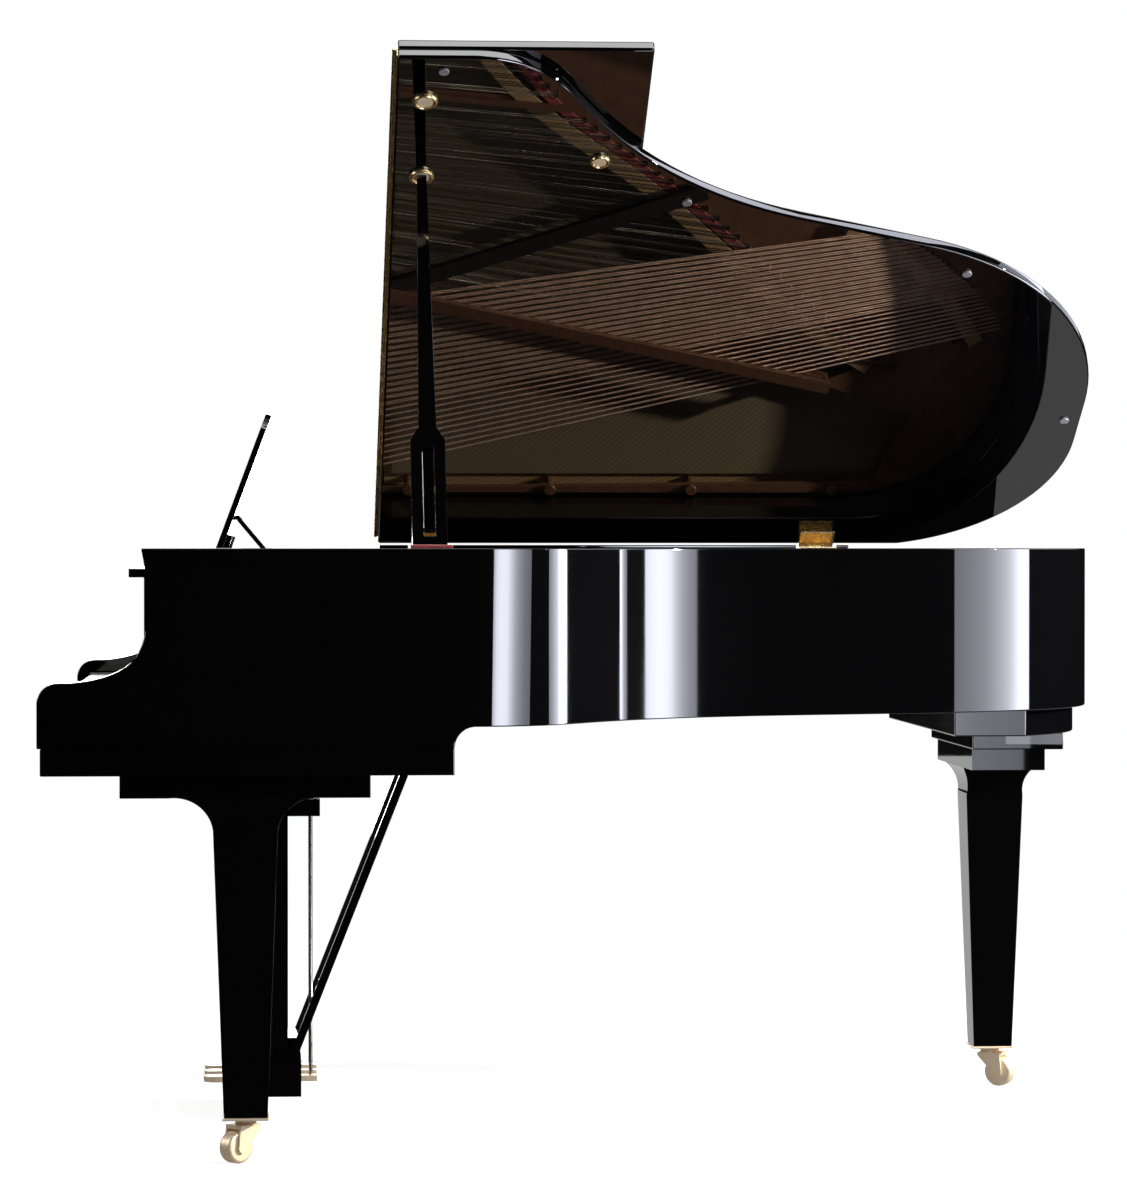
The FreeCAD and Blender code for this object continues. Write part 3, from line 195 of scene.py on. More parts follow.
def add_share(tree, base, extra, share):
    """A value plus a share of a second one."""
    both = tree.nodes.new("ShaderNodeMath")
    both.operation = "MULTIPLY_ADD"
    both.inputs[1].default_value = share
    link(tree, extra, both.inputs[0])
    link(tree, base, both.inputs[2])
    return both.outputs[0]


def make_polish():
    """Faint hand marks and dust on a polished surface: roughness and a long ripple."""
    group, given, made = new_group("polish_marks",
                                   [("Vector", "vector"), ("Clean", "value"), ("Marked", "value")],
                                   [("Roughness", "value"), ("Ripple", "value")])
    broad = noise(group, given.outputs["Vector"], scale=3.5, detail=4.0, roughness=0.6)
    fine = noise(group, given.outputs["Vector"], scale=90.0, detail=3.0, roughness=0.7)
    marks = add_share(group, broad, fine, 0.25)
    link(group, spread(group, marks, given.outputs["Clean"], given.outputs["Marked"]),
         made.inputs["Roughness"])
    ripple = noise(group, given.outputs["Vector"], scale=9.0, detail=1.0, roughness=0.4)
    link(group, ripple, made.inputs["Ripple"])
    return group


def make_figure():
    """Long wood grain along the vector's Y: colour with growth lines and pores."""
    group, given, made = new_group("wood_figure",
                                   [("Vector", "vector"), ("Light", "colour"), ("Dark", "colour")],
                                   [("Colour", "colour"), ("Pores", "value")])
    wave = add_node(group, "ShaderNodeTexWave", Scale=38.0, Distortion=1.6, Detail=3.0, Detail_Scale=0.4)
    wave.bands_direction = "X"
    link(group, given.outputs["Vector"], wave.inputs["Vector"])
    stretch = add_node(group, "ShaderNodeMapping", Scale=(160.0, 5.0, 160.0))
    link(group, given.outputs["Vector"], stretch.inputs["Vector"])
    pores = noise(group, stretch.outputs["Vector"], scale=1.0, detail=3.0, roughness=0.6)
    lines = blend_colours(group, wave.outputs["Fac"], given.outputs["Light"], given.outputs["Dark"])
    dark = spread(group, pores, 0.0, 0.35)
    link(group, blend_colours(group, dark, lines, given.outputs["Dark"]), made.inputs["Colour"])
    link(group, pores, made.inputs["Pores"])
    return group


def make_nap():
    """Felt: two tones of wool and a short raised nap."""
    group, given, made = new_group("felt_nap",
                                   [("Vector", "vector"), ("Tone", "colour"), ("Shade", "colour")],
                                   [("Colour", "colour"), ("Nap", "value")])
    wool = noise(group, given.outputs["Vector"], scale=260.0, detail=4.0, roughness=0.75)
    cloud = noise(group, given.outputs["Vector"], scale=22.0, detail=2.0, roughness=0.5)
    patches = spread(group, cloud, 0.0, 0.6)
    mixed = blend_colours(group, patches, given.outputs["Tone"], given.outputs["Shade"])
    fibres = spread(group, wool, 0.0, 0.5)
    link(group, blend_colours(group, fibres, mixed, given.outputs["Shade"]), made.inputs["Colour"])
    link(group, wool, made.inputs["Nap"])
    return group


def make_tarnish():
    """Handled metal: colour and roughness that cloud over in patches."""
    group, given, made = new_group("metal_tarnish",
                                   [("Vector", "vector"), ("Bright", "colour"), ("Dull", "colour"),
                                    ("Smooth", "value"), ("Rough", "value")],
                                   [("Colour", "colour"), ("Roughness", "value")])
    patch = noise(group, given.outputs["Vector"], scale=34.0, detail=5.0, roughness=0.65)
    speck = noise(group, given.outputs["Vector"], scale=420.0, detail=2.0, roughness=0.5)
    mask = spread(group, patch, 0.0, 1.0)
    link(group, blend_colours(group, mask, given.outputs["Bright"], given.outputs["Dull"]),
         made.inputs["Colour"])
    wear = add_share(group, patch, speck, 0.3)
    link(group, spread(group, wear, given.outputs["Smooth"], given.outputs["Rough"]),
         made.inputs["Roughness"])
    return group


# The part of a noise value's range that is used
noise_low = 0.3
noise_high = 0.7

polish_marks = make_polish()
wood_figure = make_figure()
felt_nap = make_nap()
metal_tarnish = make_tarnish()


class Finish:
    """A material with one Principled shader, read on Object coordinates."""

    def __init__(self, name, **sockets):
        self.material = bpy.data.materials.new(name)
        self.material.use_nodes = True
        self.tree = self.material.node_tree
        self.shader = self.tree.nodes["Principled BSDF"]
        for label, value in sockets.items():
            self.shader.inputs[label.replace("_", " ")].default_value = value
        place = self.tree.nodes.new("ShaderNodeTexCoord")
        self.vector = place.outputs["Object"]

    def turned(self, degrees):
        """The place in the piece, turned in plan."""
        node = add_node(self.tree, "ShaderNodeMapping", Rotation=(0, 0, math.radians(degrees)))
        link(self.tree, self.vector, node.inputs["Vector"])
        return node.outputs["Vector"]

    def use(self, group, vector=None, **values):
        node = self.tree.nodes.new("ShaderNodeGroup")
        node.node_tree = group
        for label, value in values.items():
            node.inputs[label].default_value = value
        link(self.tree, vector or self.vector, node.inputs["Vector"])
        return node.outputs

    def feed(self, source, label):
        link(self.tree, source, self.shader.inputs[label])

    def bump(self, height, strength, distance):
        node = add_node(self.tree, "ShaderNodeBump", Strength=strength, Distance=distance)
        link(self.tree, height, node.inputs["Height"])
        self.feed(node.outputs["Normal"], "Normal")


def colour(red, green, blue):
    return (red, green, blue, 1.0)


def lacquer_finish(name, ior, tint, clean, marked):
    """Black polyester lacquer, rubbed to a mirror, with the faintest ripple and hand marks."""
    finish = Finish(name, IOR=ior)
    marks = finish.use(polish_marks, Clean=clean, Marked=marked)
    finish.feed(marks["Roughness"], "Roughness")
    finish.bump(marks["Ripple"], strength=0.003, distance=0.002)
    cloud = noise(finish.tree, finish.vector, scale=2.0, detail=3.0)
    finish.feed(blend_colours(finish.tree, cloud, colour(*tint), colour(*deep_black)), "Base Color")
    return finish.material


def wood_finish(name, light, dark, turn, gloss):
    """Varnished wood with its grain turned in plan."""
    finish = Finish(name, Coat_Weight=0.35, Coat_Roughness=0.12)
    grain = finish.use(wood_figure, finish.turned(turn), Light=colour(*light), Dark=colour(*dark))
    finish.feed(grain["Colour"], "Base Color")
    marks = finish.use(polish_marks, Clean=gloss, Marked=gloss + 0.2)
    finish.feed(marks["Roughness"], "Roughness")
    finish.bump(grain["Pores"], strength=0.12, distance=0.0006)
    return finish.material


def metal_finish(name, bright, dull, smooth, rough, metal=1.0, **sockets):
    finish = Finish(name, Metallic=metal, **sockets)
    worn = finish.use(metal_tarnish, Bright=colour(*bright), Dull=colour(*dull), Smooth=smooth, Rough=rough)
    finish.feed(worn["Colour"], "Base Color")
    finish.feed(worn["Roughness"], "Roughness")
    return finish


def felt_finish(name, tone, dark):
    finish = Finish(name, Roughness=0.95, Sheen_Weight=0.4, Sheen_Roughness=0.6)
    wool = finish.use(felt_nap, Tone=colour(*tone), Shade=colour(*dark))
    finish.feed(wool["Colour"], "Base Color")
    finish.bump(wool["Nap"], strength=0.5, distance=0.0012)
    return finish.material


def plate_finish():
    """Cast iron sprayed with bronze: colour and roughness that cloud over in patches, and a sandy skin."""
    finish = metal_finish("bronze_plate", (0.30, 0.15, 0.085), (0.19, 0.085, 0.045), 0.3, 0.5, 0.55,
                          Coat_Weight=0.25, Coat_Roughness=0.2)
    sand = noise(finish.tree, finish.vector, scale=480.0, detail=4.0, roughness=0.7)
    finish.bump(sand, strength=0.25, distance=0.0008)
    return finish.material


def winding_finish():
    """Copper wire wound round a steel core, its turns across the string."""
    finish = metal_finish("copper_winding", (0.86, 0.62, 0.48), (0.58, 0.38, 0.27), 0.22, 0.4)
    turns = add_node(finish.tree, "ShaderNodeTexWave", Scale=420.0, Distortion=0.0)
    turns.bands_direction = "Y"
    link(finish.tree, finish.vector, turns.inputs["Vector"])
    finish.bump(turns.outputs["Fac"], strength=0.5, distance=0.0005)
    return finish.material


def split_by_height(finish, height, blend):
    """A mask that is 0 below a height of the piece and 1 above it."""
    parts = finish.tree.nodes.new("ShaderNodeSeparateXYZ")
    link(finish.tree, finish.vector, parts.inputs["Vector"])
    step = add_node(finish.tree, "ShaderNodeMapRange", From_Min=height, From_Max=height + blend)
    link(finish.tree, parts.outputs["Z"], step.inputs["Value"])
    return step.outputs["Result"]


def white_key_finish(top):
    """White covers on the keys' wooden sticks."""
    finish = Finish("white_key_cover", Roughness=0.2, Coat_Weight=0.3, Coat_Roughness=0.08, IOR=1.5)
    grain = finish.use(wood_figure, Light=colour(*stick_light), Dark=colour(*stick_dark))
    cloud = noise(finish.tree, finish.vector, scale=14.0, detail=3.0)
    cover = blend_colours(finish.tree, cloud, colour(0.88, 0.86, 0.80), colour(0.82, 0.80, 0.73))
    mask = split_by_height(finish, top - key_cover, cover_line)
    finish.feed(blend_colours(finish.tree, mask, grain["Colour"], cover), "Base Color")
    marks = finish.use(polish_marks, Clean=0.12, Marked=0.3)
    finish.feed(marks["Roughness"], "Roughness")
    return finish.material


def black_key_finish(top):
    """Satin black caps on the keys' wooden sticks."""
    finish = Finish("black_key_cap", IOR=1.5)
    grain = finish.use(wood_figure, Light=colour(*stick_light), Dark=colour(*stick_dark))
    cap = finish.use(wood_figure, Light=colour(0.018, 0.017, 0.016), Dark=colour(0.006, 0.006, 0.006))
    mask = split_by_height(finish, top - key_cover, cover_line)
    finish.feed(blend_colours(finish.tree, mask, grain["Colour"], cap["Colour"]), "Base Color")
    marks = finish.use(polish_marks, Clean=0.22, Marked=0.42)
    finish.feed(marks["Roughness"], "Roughness")
    finish.bump(cap["Pores"], strength=0.1, distance=0.0004)
    return finish.material


deep_black = (0.0006, 0.0006, 0.0007)
stick_light = (0.62, 0.44, 0.26)
stick_dark = (0.45, 0.29, 0.15)
key_cover = 0.0025
cover_line = 0.0002
white_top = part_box("keys_c")[1].z

lacquer = lacquer_finish("black_lacquer", ior=1.75, tint=(0.0012, 0.0012, 0.0014), clean=0.01, marked=0.04)
lid_lacquer = lacquer_finish("lid_lacquer", ior=1.95, tint=(0.001, 0.001, 0.0012), clean=0.0, marked=0.012)
spruce = wood_finish("soundboard_spruce", (0.30, 0.235, 0.15), (0.21, 0.155, 0.09), turn=42.0, gloss=0.3)
beam_wood = wood_finish("beam_spruce", (0.58, 0.40, 0.21), (0.38, 0.23, 0.1), turn=0.0, gloss=0.45)
rim_wood = wood_finish("inner_rim_maple", (0.50, 0.32, 0.16), (0.34, 0.19, 0.08), turn=20.0, gloss=0.35)
maple = wood_finish("bridge_maple", (0.55, 0.37, 0.19), (0.38, 0.23, 0.1), turn=35.0, gloss=0.35)
action_wood = wood_finish("action_maple", (0.68, 0.5, 0.3), (0.5, 0.33, 0.17), turn=0.0, gloss=0.45)
bronze = plate_finish()
brass = metal_finish("polished_brass", (0.93, 0.78, 0.46), (0.80, 0.62, 0.33), 0.12, 0.28).material
satin_brass = metal_finish("satin_brass", (0.92, 0.78, 0.58), (0.84, 0.67, 0.46), 0.3, 0.42, 0.7).material
steel = metal_finish("bright_steel", (0.68, 0.68, 0.68), (0.5, 0.5, 0.49), 0.16, 0.34).material
string_steel = metal_finish("string_wire", (0.20, 0.18, 0.15), (0.11, 0.09, 0.07), 0.18, 0.32).material
copper = winding_finish()
rubber = metal_finish("grey_rubber", (0.13, 0.13, 0.14), (0.09, 0.09, 0.095), 0.45, 0.65, 0.0).material
# Painted shade: a near-black metal for the plate's raised strut, standing in for the shadow it lies in.
strut_shade_paint = metal_finish("painted_shade_strut", (0.035, 0.027, 0.02), (0.016, 0.012, 0.01), 0.35, 0.55, 0.3).material
red_felt = felt_finish("red_felt", (0.42, 0.025, 0.02), (0.2, 0.01, 0.012))
white_cover = white_key_finish(white_top)
black_cap = black_key_finish(white_top)


# The CAD pieces, with soft edges and their finishes
def dress_case():
    for node in ("outer_rim", "key_bed", "key_slip", "key_blocks", "tail_blocks", "front_legs", "tail_leg",
                 "lyre", "fallboard", "desk_rails", "desk_tray", "desk_panel", "desk_strut", "half_prop",
                 "prop_stick"):
        dress(node, case_edge, 3, lacquer)
    for node in ("lid_main", "lid_flap"):
        dress(node, lid_edge, 4, lid_lacquer)


def dress_inside():
    dress("iron_plate", plate_edge, 3, bronze)
    dress("plate_bolts", bolt_edge, 2, bronze)
    dress("bridges", bridge_edge, 2, maple)
    for node, material in (("soundboard", spruce), ("case_beams", beam_wood), ("inner_rim", rim_wood),
                           ("pin_block", rim_wood), ("key_frame", action_wood), ("hammers", action_wood),
                           ("string_pins", steel), ("plain_strings", string_steel), ("wound_strings", copper),
                           ("dampers", lacquer)):
        coat(nodes[node], material)


def dress_keys():
    for node in nodes:
        if node.startswith("keys_"):
            dress(node, key_edge, 2, black_cap if "sharp" in node else white_cover)


def dress_metal():
    for node in nodes:
        if node.startswith("caster_") or node in ("pedal_left", "pedal_middle", "pedal_right"):
            dress(node, brass_edge, 3, satin_brass)
        elif node.startswith("pedal_rod"):
            dress(node, 0, 0, steel)
    for node in ("flap_hinge", "lid_hinge_fixed", "lid_hinge_moving", "prop_cups", "prop_bracket"):
        dress(node, hinge_edge, 2, brass)


case_edge = 0.0022
lid_edge = 0.004
plate_edge = 0.003
bolt_edge = 0.002
bridge_edge = 0.0015
key_edge = 0.0009
brass_edge = 0.0012
hinge_edge = 0.0005

dress_case()
dress_inside()
dress_keys()
dress_metal()


# Small pieces over the CAD: studs, coils, felts, rings and buffers
def box_piece(x0, x1, y0, y1, z0, z1):
    bpy.ops.mesh.primitive_cube_add(size=1, location=((x0 + x1) / 2, (y0 + y1) / 2, (z0 + z1) / 2))
    obj = bpy.context.object
    obj.scale = (x1 - x0, y1 - y0, z1 - z0)
    return obj


def bar_piece(start, end, width, z0, z1):
    """A straight bar between two places in plan."""
    run = Vector((end[0] - start[0], end[1] - start[1], 0))
    middle = ((start[0] + end[0]) / 2, (start[1] + end[1]) / 2, (z0 + z1) / 2)
    bpy.ops.mesh.primitive_cube_add(size=1, location=middle, rotation=(0, 0, math.atan2(run.y, run.x)))
    obj = bpy.context.object
    obj.scale = (run.length + width / 4, width, z1 - z0)
    return obj


def stud_piece(x, y, z0, z1, radius, sides=12):
    bpy.ops.mesh.primitive_cylinder_add(vertices=sides, radius=radius, depth=z1 - z0,
                                        location=(x, y, (z0 + z1) / 2))
    return bpy.context.object


def lid_spot(run, y, depth):
    """A place under the open lid: its run from the hinge line, and how far it stands out of the underside."""
    turn = math.radians(lid_turn)
    lift = lid_lift - depth
    return (lid_axis_x + run * math.cos(turn) - lift * math.sin(turn), y,
            lid_axis_z + run * math.sin(turn) + lift * math.cos(turn))


def lid_stud(run, y, top, bottom, radius, sides=32):
    bpy.ops.mesh.primitive_cylinder_add(vertices=sides, radius=radius, depth=bottom - top,
                                        location=lid_spot(run, y, (top + bottom) / 2),
                                        rotation=(0, math.radians(-lid_turn), 0))
    return bpy.context.object


def lid_ring(run, y, depth, radius, thick):
    bpy.ops.mesh.primitive_torus_add(major_radius=radius, minor_radius=thick, major_segments=48,
                                     minor_segments=10, location=lid_spot(run, y, depth),
                                     rotation=(0, math.radians(-lid_turn), 0))
    return bpy.context.object


def joined(pieces):
    bpy.ops.object.select_all(action="DESELECT")
    for piece in pieces:
        piece.select_set(True)
    bpy.context.view_layer.objects.active = pieces[0]
    if len(pieces) > 1:
        bpy.ops.object.join()
    obj = bpy.context.object
    settle(obj)
    return obj


def add_detail(name, pieces, material, body, edge=0.0, segments=2):
    obj = joined(pieces)
    if edge > 0:
        soften(obj, edge, segments)
    else:
        shade(obj)
    return finish_piece(obj, name, material, body)


def plain_places():
    """X places of the plain notes, with a wider step at each break."""
    steps = plain_count - 1 + 2 * len(plain_breaks)
    for note in range(plain_count):
        passed = sum(1 for place in plain_breaks if note >= place)
        yield plain_span[0] + (plain_span[1] - plain_span[0]) * (note + 2 * passed) / steps


def wound_places():
    for note in range(wound_count):
        yield wound_span[0] + (wound_span[1] - wound_span[0]) * note / (wound_count - 1)


def add_coils(places, rows_of, spread_step, radius, z):
    """A coil of wire on each tuning pin; a note has one to three rows of pins."""
    coils = []
    for note, x in enumerate(places):
        rows = rows_of(note)
        for row in range(rows):
            coils.append(stud_piece(x + (row - (rows - 1) / 2) * spread_step, pin_y - row * pin_step,
                                    z[0], z[1], radius, coil_sides))
    return coils


def add_bearings():
    """Agraffe studs at the bearing line, and the coils."""
    studs = [stud_piece(x, bearing_y, plate_top, plain_z + stud_rise, plain_stud) for x in plain_places()]
    studs += [stud_piece(x, bearing_y, plate_top, wound_z + stud_rise, wound_stud) for x in wound_places()]
    add_detail("agraffe_studs", studs, brass, "case", stud_edge, 1)
    coils = add_coils(plain_places(), lambda note: 3, plain_coil_step, plain_coil,
                      (plain_z - plain_coil_drop, plain_z + coil_rise))
    coils += add_coils(wound_places(), lambda note: 1 if note < wound_singles else 2, wound_coil_step,
                       wound_coil, (wound_z - wound_coil_drop, wound_z + coil_rise))
    add_detail("pin_coils", coils, string_steel, "case")


def add_felts():
    """Felt under the strings, behind the keys and at the prop's foot, and the bead that the lid lies on."""
    under = [box_piece(*plain_felt_x, *felt_y, plate_top, plain_z - felt_gap),
             box_piece(*wound_felt_x, *felt_y, plate_top, wound_z - wound_felt_gap)]
    for path in (plain_hitches, wound_hitches):
        for start, end in zip(path, path[1:]):
            under.append(bar_piece((start[0], start[1] - hitch_back), (end[0], end[1] - hitch_back),
                                   hitch_felt, plate_top, plain_z - felt_gap))
    add_detail("string_felts", under, red_felt, "case", felt_edge)
    name_felt = box_piece(*name_felt_x, *name_felt_y, *name_felt_z)
    add_detail("name_felt", [name_felt], red_felt, "case", felt_edge)
    pad = box_piece(*pad_x, prop_y - pad_half, prop_y + pad_half, rim_top, rim_top + pad_height)
    add_detail("prop_felt", [pad], red_felt, "case", felt_edge)
    bead = [box_piece(*bead_x, y0, y1, rim_top, rim_top + bead_height) for y0, y1 in bead_runs]
    add_detail("lid_rest", bead, lacquer, "case", bead_edge)


def add_lid_fittings():
    """Buffers and the rings and wells of the prop cups, under the lid."""
    buffers = [lid_stud(run, y, 0.0, buffer_height, buffer_radius) for run, y in buffer_spots]
    add_detail("lid_buffers", buffers, rubber, "lid", felt_edge)
    rings = [lid_ring(run, y, ring_depth, radius * ring_share, ring_thick) for run, y, radius in cup_spots]
    add_detail("cup_rings", rings, brass, "lid")
    wells = [lid_stud(run, y, *well_depths, radius * well_share) for run, y, radius in cup_spots]
    add_detail("cup_wells", wells, satin_brass, "lid")


def thicken(node, material, growth):
    """Replaces the thin strings by slightly fuller ones."""
    obj = merged_copy(node)
    only(obj)
    fuller = obj.modifiers.new("fuller", "DISPLACE")
    fuller.strength = growth
    fuller.mid_level = 0.0
    bpy.ops.object.modifier_apply(modifier=fuller.name)
    shade(obj)
    finish_piece(obj, "fine_" + node, material, body_of(node))
    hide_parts(node)


def paint_strut_shade():
    """Paints shade onto the raised strut: its faces take a near-black finish that stands in for shadow; the
    rest of the plate is bronze.
    """
    plate = bpy.data.objects["fine_iron_plate"]
    plate.data.materials.append(strut_shade_paint)
    start = Vector(raised_strut[0])
    way = (Vector(raised_strut[1]) - start).normalized()
    # The raised strut's faces take the near-black painted shade.
    for face in plate.data.polygons:
        off = Vector(face.center[:2]) - start
        along = off.dot(way)
        beside = abs(off.cross(way)) < raised_half and along > -raised_end
        if raised_z[0] < face.center.z < raised_z[1] and beside:
            face.material_index = 1


lid_axis_x = -0.746
lid_axis_z = 0.9845
lid_turn = 31.9
lid_lift = 0.0025
buffer_height = 0.0042
buffer_radius = 0.0085
buffer_spots = ((1.460, -0.283), (1.107, 0.143), (0.903, 0.6525), (0.440, 0.898))
cup_spots = ((1.177, -0.311, 0.021), (1.382, -0.311, 0.021), (1.222, -0.013, 0.017))
ring_depth = 0.0042
ring_share = 0.80
ring_thick = 0.0024
well_depths = (0.0040, 0.0043)
well_share = 0.62
rim_top = 0.982
prop_y = -0.311
pad_x = (0.6925, 0.7120)
pad_half = 0.033
pad_height = 0.0055
bead_x = (-0.7385, -0.7285)
bead_runs = ((-0.357, -0.302), (-0.224, 0.444), (0.522, 0.545))
bead_height = 0.0062
bead_edge = 0.0015
plate_top = 0.880
plain_z = 0.887
wound_z = 0.903
bearing_y = -0.430
stud_rise = 0.006
stud_edge = 0.0008
plain_stud = 0.0060
wound_stud = 0.0056
coil_sides = 10
coil_rise = 0.0016
plain_coil = 0.0036
plain_coil_step = 0.0036
plain_coil_drop = 0.0022
wound_coil = 0.0037
wound_coil_step = 0.0038
wound_coil_drop = 0.0024
plain_felt_x = (-0.236, 0.632)
wound_felt_x = (-0.646, -0.270)
felt_y = (-0.482, -0.462)
name_felt_x = (-0.611, 0.611)
name_felt_y = (-0.752, -0.7445)
name_felt_z = (0.7462, 0.7540)
felt_gap = 0.001
wound_felt_gap = 0.003
felt_edge = 0.0012
hitch_felt = 0.016
plain_span = (-0.22197, 0.61803)
plain_count = 60
plain_breaks = (27, 44)
wound_span = (-0.63397, -0.28400)
wound_count = 28
wound_singles = 10
pin_y = -0.556
pin_step = 0.036
hitch_back = 0.022
plain_hitches = ((-0.418, 0.633), (-0.289, 0.465), (-0.169, 0.337), (-0.056, 0.21), (0.082, 0.02),
                 (0.132, -0.034), (0.257, -0.131), (0.376, -0.187), (0.53, -0.237), (0.625, -0.261))
wound_hitches = ((-0.326, 0.825), (-0.275, 0.789), (-0.224, 0.742), (-0.173, 0.678), (-0.129, 0.601))
raised_strut = ((-0.246, -0.338), (-0.050, 0.250))
raised_z = (0.8930, 0.9118)
raised_half = 0.0165
raised_end = 0.01
string_growth = 0.0003

add_bearings()
add_felts()
add_lid_fittings()
thicken("plain_strings", string_steel, string_growth)
paint_strut_shade()


# Floor, light and camera
def make_floor():
    """A pale round floor that fades into the white around it."""
    bpy.ops.mesh.primitive_circle_add(vertices=96, radius=floor_radius, fill_type="NGON")
    floor = bpy.context.object
    floor.name = "studio_floor"
    settle(floor)
    material = bpy.data.materials.new("studio_floor")
    material.use_nodes = True
    tree = material.node_tree
    tree.nodes.clear()
    place = tree.nodes.new("ShaderNodeTexCoord")
    reach = tree.nodes.new("ShaderNodeVectorMath")
    reach.operation = "LENGTH"
    link(tree, place.outputs["Object"], reach.inputs[0])
    fade = add_node(tree, "ShaderNodeMapRange", From_Min=floor_radius * fade_start,
                    From_Max=floor_radius * fade_end)
    link(tree, reach.outputs["Value"], fade.inputs["Value"])
    paint = add_node(tree, "ShaderNodeBsdfDiffuse", Color=colour(*floor_tone))
    glow = add_node(tree, "ShaderNodeEmission", Color=colour(1, 1, 1), Strength=floor_glow)
    lit = tree.nodes.new("ShaderNodeAddShader")
    link(tree, paint.outputs[0], lit.inputs[0])
    link(tree, glow.outputs[0], lit.inputs[1])
    clear = tree.nodes.new("ShaderNodeBsdfTransparent")
    both = tree.nodes.new("ShaderNodeMixShader")
    link(tree, fade.outputs["Result"], both.inputs[0])
    link(tree, lit.outputs[0], both.inputs[1])
    link(tree, clear.outputs[0], both.inputs[2])
    out = tree.nodes.new("ShaderNodeOutputMaterial")
    link(tree, both.outputs[0], out.inputs["Surface"])
    coat(floor, material)
    floor.visible_glossy = False


def make_world():
    """White to the camera, near dark to everything else, as in a tented studio."""
    world = bpy.data.worlds.new("studio")
    bpy.context.scene.world = world
    world.use_nodes = True
    tree = world.node_tree
    tree.nodes.clear()
    path = tree.nodes.new("ShaderNodeLightPath")
    white = add_node(tree, "ShaderNodeBackground", Color=colour(1, 1, 1), Strength=1.0)
    dim = add_node(tree, "ShaderNodeBackground", Color=colour(0.9, 0.92, 1.0), Strength=room_light)
    both = tree.nodes.new("ShaderNodeMixShader")
    link(tree, path.outputs["Is Camera Ray"], both.inputs[0])
    link(tree, dim.outputs[0], both.inputs[1])
    link(tree, white.outputs[0], both.inputs[2])
    out = tree.nodes.new("ShaderNodeOutputWorld")
    link(tree, both.outputs[0], out.inputs["Surface"])


def add_panel(name, place, aim, width, height, power, tint=(1, 1, 1)):
    """A rectangular soft light that the camera doesn't see."""
    light = bpy.data.lights.new(name, "AREA")
    light.shape = "RECTANGLE"
    light.size = width
    light.size_y = height
    light.energy = power
    light.color = tint
    obj = bpy.data.objects.new(name, light)
    bpy.context.collection.objects.link(obj)
    obj.location = place
    obj.rotation_euler = (Vector(aim) - Vector(place)).to_track_quat("-Z", "Y").to_euler()
    obj.visible_camera = False
    return obj


def shade_panel(obj, stops):
    """Lets a panel's light change along its width."""
    obj.data.use_nodes = True
    tree = obj.data.node_tree
    tree.nodes.clear()
    place = tree.nodes.new("ShaderNodeNewGeometry")
    parts = tree.nodes.new("ShaderNodeSeparateXYZ")
    link(tree, place.outputs["Parametric"], parts.inputs["Vector"])
    ramp = tree.nodes.new("ShaderNodeValToRGB")
    points = ramp.color_ramp.elements
    while len(points) < len(stops):
        points.new(0.5)
    for point, (share, level) in zip(points, stops):
        point.position = share
        point.color = (level, level, level, 1.0)
    link(tree, parts.outputs["X"], ramp.inputs["Fac"])
    glow = tree.nodes.new("ShaderNodeEmission")
    link(tree, ramp.outputs["Color"], glow.inputs["Color"])
    out = tree.nodes.new("ShaderNodeOutputLight")
    link(tree, glow.outputs[0], out.inputs["Surface"])


def upright_panel(name, start, end, z0, z1, radiance, stops):
    """A tall panel that stands on a line in plan, facing left of its way; its light follows from its size."""
    start = Vector((start[0], start[1], (z0 + z1) / 2))
    end = Vector((end[0], end[1], (z0 + z1) / 2))
    run = end - start
    ahead = Vector((-run.y, run.x, 0))
    middle = (start + end) / 2
    power = radiance * math.pi * run.length * (z1 - z0)
    shade_panel(add_panel(name, middle, middle + ahead, run.length, z1 - z0, power, strip_tint), stops)


def slanted_strip(name, start, end, aim, width, radiance):
    """A long slim panel between two points, turned to face a third."""
    start = Vector(start)
    end = Vector(end)
    run = end - start
    middle = (start + end) / 2
    power = radiance * math.pi * run.length * width
    strip = add_panel(name, middle, aim, run.length, width, power, strip_tint)
    back = (middle - Vector(aim)).normalized()
    along = (run - run.project(back)).normalized()
    strip.rotation_euler = Matrix((along, back.cross(along), back)).transposed().to_euler()


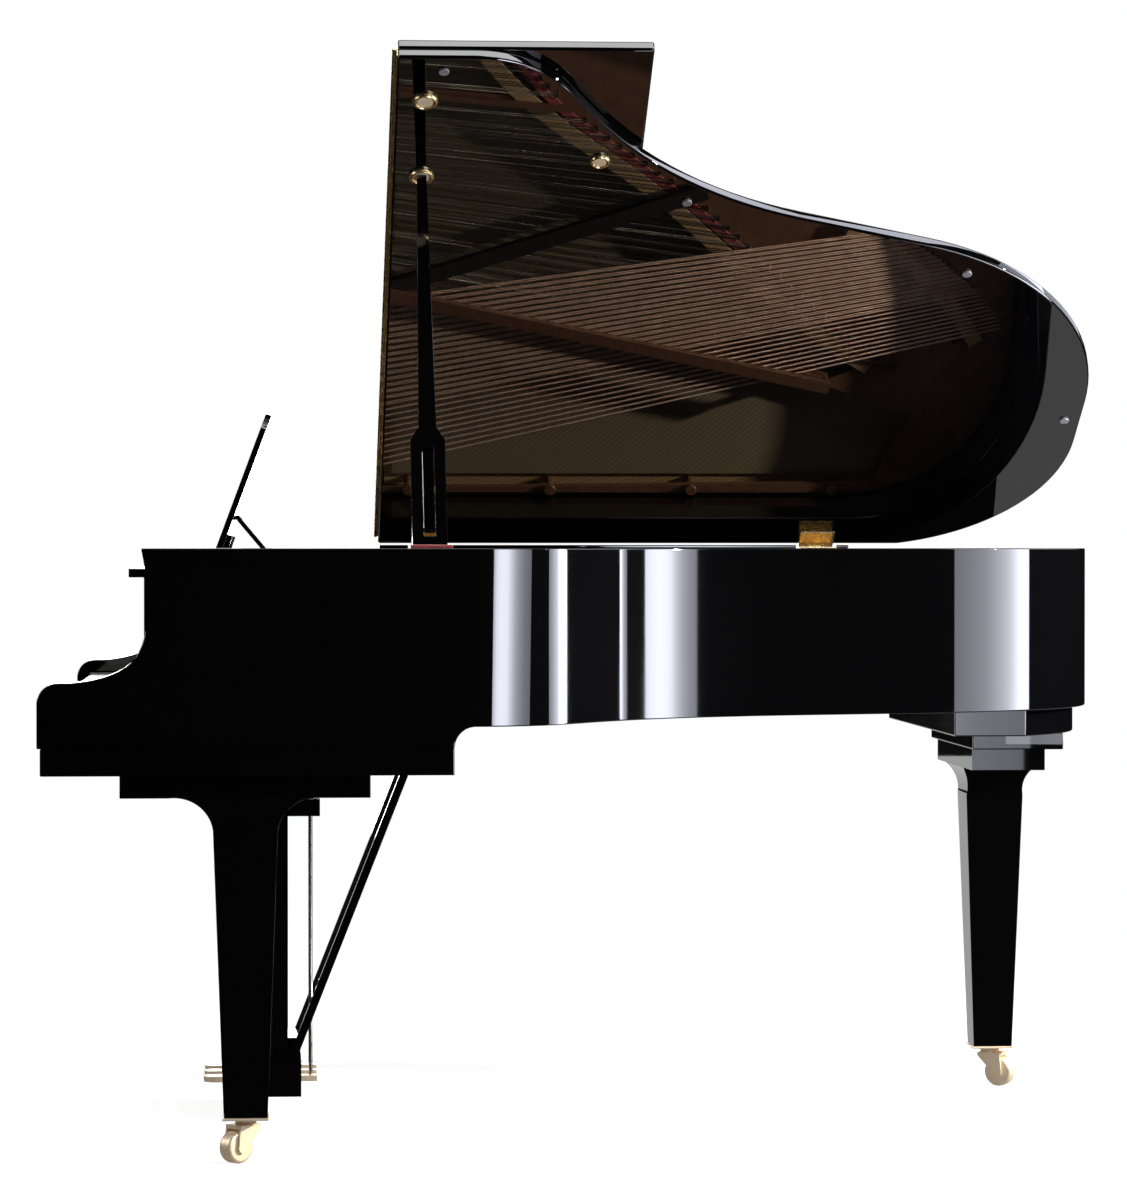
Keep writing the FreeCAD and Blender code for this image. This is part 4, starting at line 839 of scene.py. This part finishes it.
def make_lights():
    upright_panel("strip_waist", (1.939, 0.280), (1.273, 1.019), z0=0.45, z1=1.35, radiance=strip_light,
                  stops=((0.0, 0.45), (0.1, 0.88), (0.2, 1.0), (0.36, 0.96), (0.46, 0.69), (0.55, 0.45),
                         (0.65, 0.31), (0.8, 0.2), (1.0, 0.14)))
    upright_panel("strip_bend", (0.693, 0.126), (0.547, 0.131), z0=0.60, z1=1.05, radiance=strip_light,
                  stops=((0.0, 0.2), (0.2, 0.35), (0.45, 0.55), (0.7, 0.9), (0.9, 0.95), (1.0, 0.8)))
    upright_panel("strip_hollow", (0.5095, 0.5508), (0.449, 0.446), z0=0.60, z1=1.08, radiance=strip_light,
                  stops=((0.0, 0.22), (0.2, 0.28), (0.35, 0.4), (0.44, 0.54), (0.5, 0.67), (0.55, 0.84),
                         (0.62, 0.94), (0.75, 0.98), (0.88, 0.9), (1.0, 0.75)))
    upright_panel("strip_tail", (0.355, 0.807), (-0.073, 2.40), z0=0.612, z1=1.30, radiance=strip_light,
                  stops=((0.0, 0.18), (0.05, 0.22), (0.12, 0.28), (0.2, 0.4), (0.3, 0.53), (0.4, 0.73),
                         (0.5, 0.93), (0.8, 0.97), (1.0, 0.79)))
    add_panel("well_light", (0.885, 4.31, 2.08), (-0.2, 0.1, 0.88), width=0.12, height=0.12,
              power=well_power, tint=well_tint)
    top = add_panel("top_soft", (-0.1, 0.6, 4.6), (-0.1, 0.6, 0.0), width=3.5, height=3.5,
                    power=top_power)
    shade_panel(top, ((0.0, 0.04), (0.4, 0.08), (0.62, 0.3), (0.85, 1.0), (1.0, 1.0)))
    slanted_strip("lid_edge_strip", (1.26, 2.88, 5.14), (-2.29, 4.05, 2.89), (0.1, 0.5, 1.5),
                  width=0.35, radiance=edge_light)
    add_panel("top_front", (-0.1, -2.9, 4.6), (-0.1, -2.9, 0.0), width=3.5, height=3.5,
              power=top_front_power)
    add_panel("rear_soft", (-1.7, 3.7, 2.6), (-0.2, 0.3, 1.2), width=4.6, height=2.0,
              power=rear_power, tint=strip_tint)
    add_panel("floor_card", (-0.8, 1.45, 0.06), (-0.8, 1.45, 1.0), width=2.6, height=0.9,
              power=floor_card_power)
    add_panel("front_soft", (0.6, -4.5, 2.2), (0.0, -0.5, 0.6), width=2.4, height=1.6,
              power=front_power)
    add_panel("bass_soft", (-4.5, -0.8, 1.6), (-0.7, 0.0, 0.8), width=1.2, height=2.6,
              power=front_power)
    add_panel("bass_card", (-3.4, 0.0, 0.0), (0.0, 0.3, 0.0), width=4.0, height=0.9,
              power=card_power)


def make_camera():
    """The photograph's camera, level with the rim and far off on the treble side."""
    data = bpy.data.cameras.new("photo_camera")
    data.lens = photo_lens
    data.sensor_width = photo_sensor
    camera = bpy.data.objects.new("photo_camera", data)
    bpy.context.collection.objects.link(camera)
    camera.location = photo_place
    yaw = math.radians(photo_yaw)
    pitch = math.radians(photo_pitch)
    look = Vector((-math.cos(yaw) * math.cos(pitch), math.sin(yaw) * math.cos(pitch), math.sin(pitch)))
    camera.rotation_euler = look.to_track_quat("-Z", "Y").to_euler()
    data.clip_end = view_reach
    bpy.context.scene.camera = camera


floor_radius = 4.0
fade_start = 0.35
fade_end = 0.95
floor_tone = (0.3, 0.3, 0.3)
floor_glow = 0.85
room_light = 0.004
strip_tint = (0.86, 0.88, 1.0)
strip_light = 13.0
well_power = 620.0
well_tint = (1.0, 0.93, 0.82)
top_power = 160.0
top_front_power = 60.0
edge_light = 4.5
front_power = 60.0
rear_power = 42.0
floor_card_power = 2.6
card_power = 8.0
photo_lens = 128.9
photo_sensor = 36.0
view_reach = 100.0
photo_place = (7.485, -0.566, 0.982)
photo_yaw = 3.91
photo_pitch = -0.69

make_floor()
make_world()
make_lights()
make_camera()
bpy.context.scene.view_settings.view_transform = "Standard"
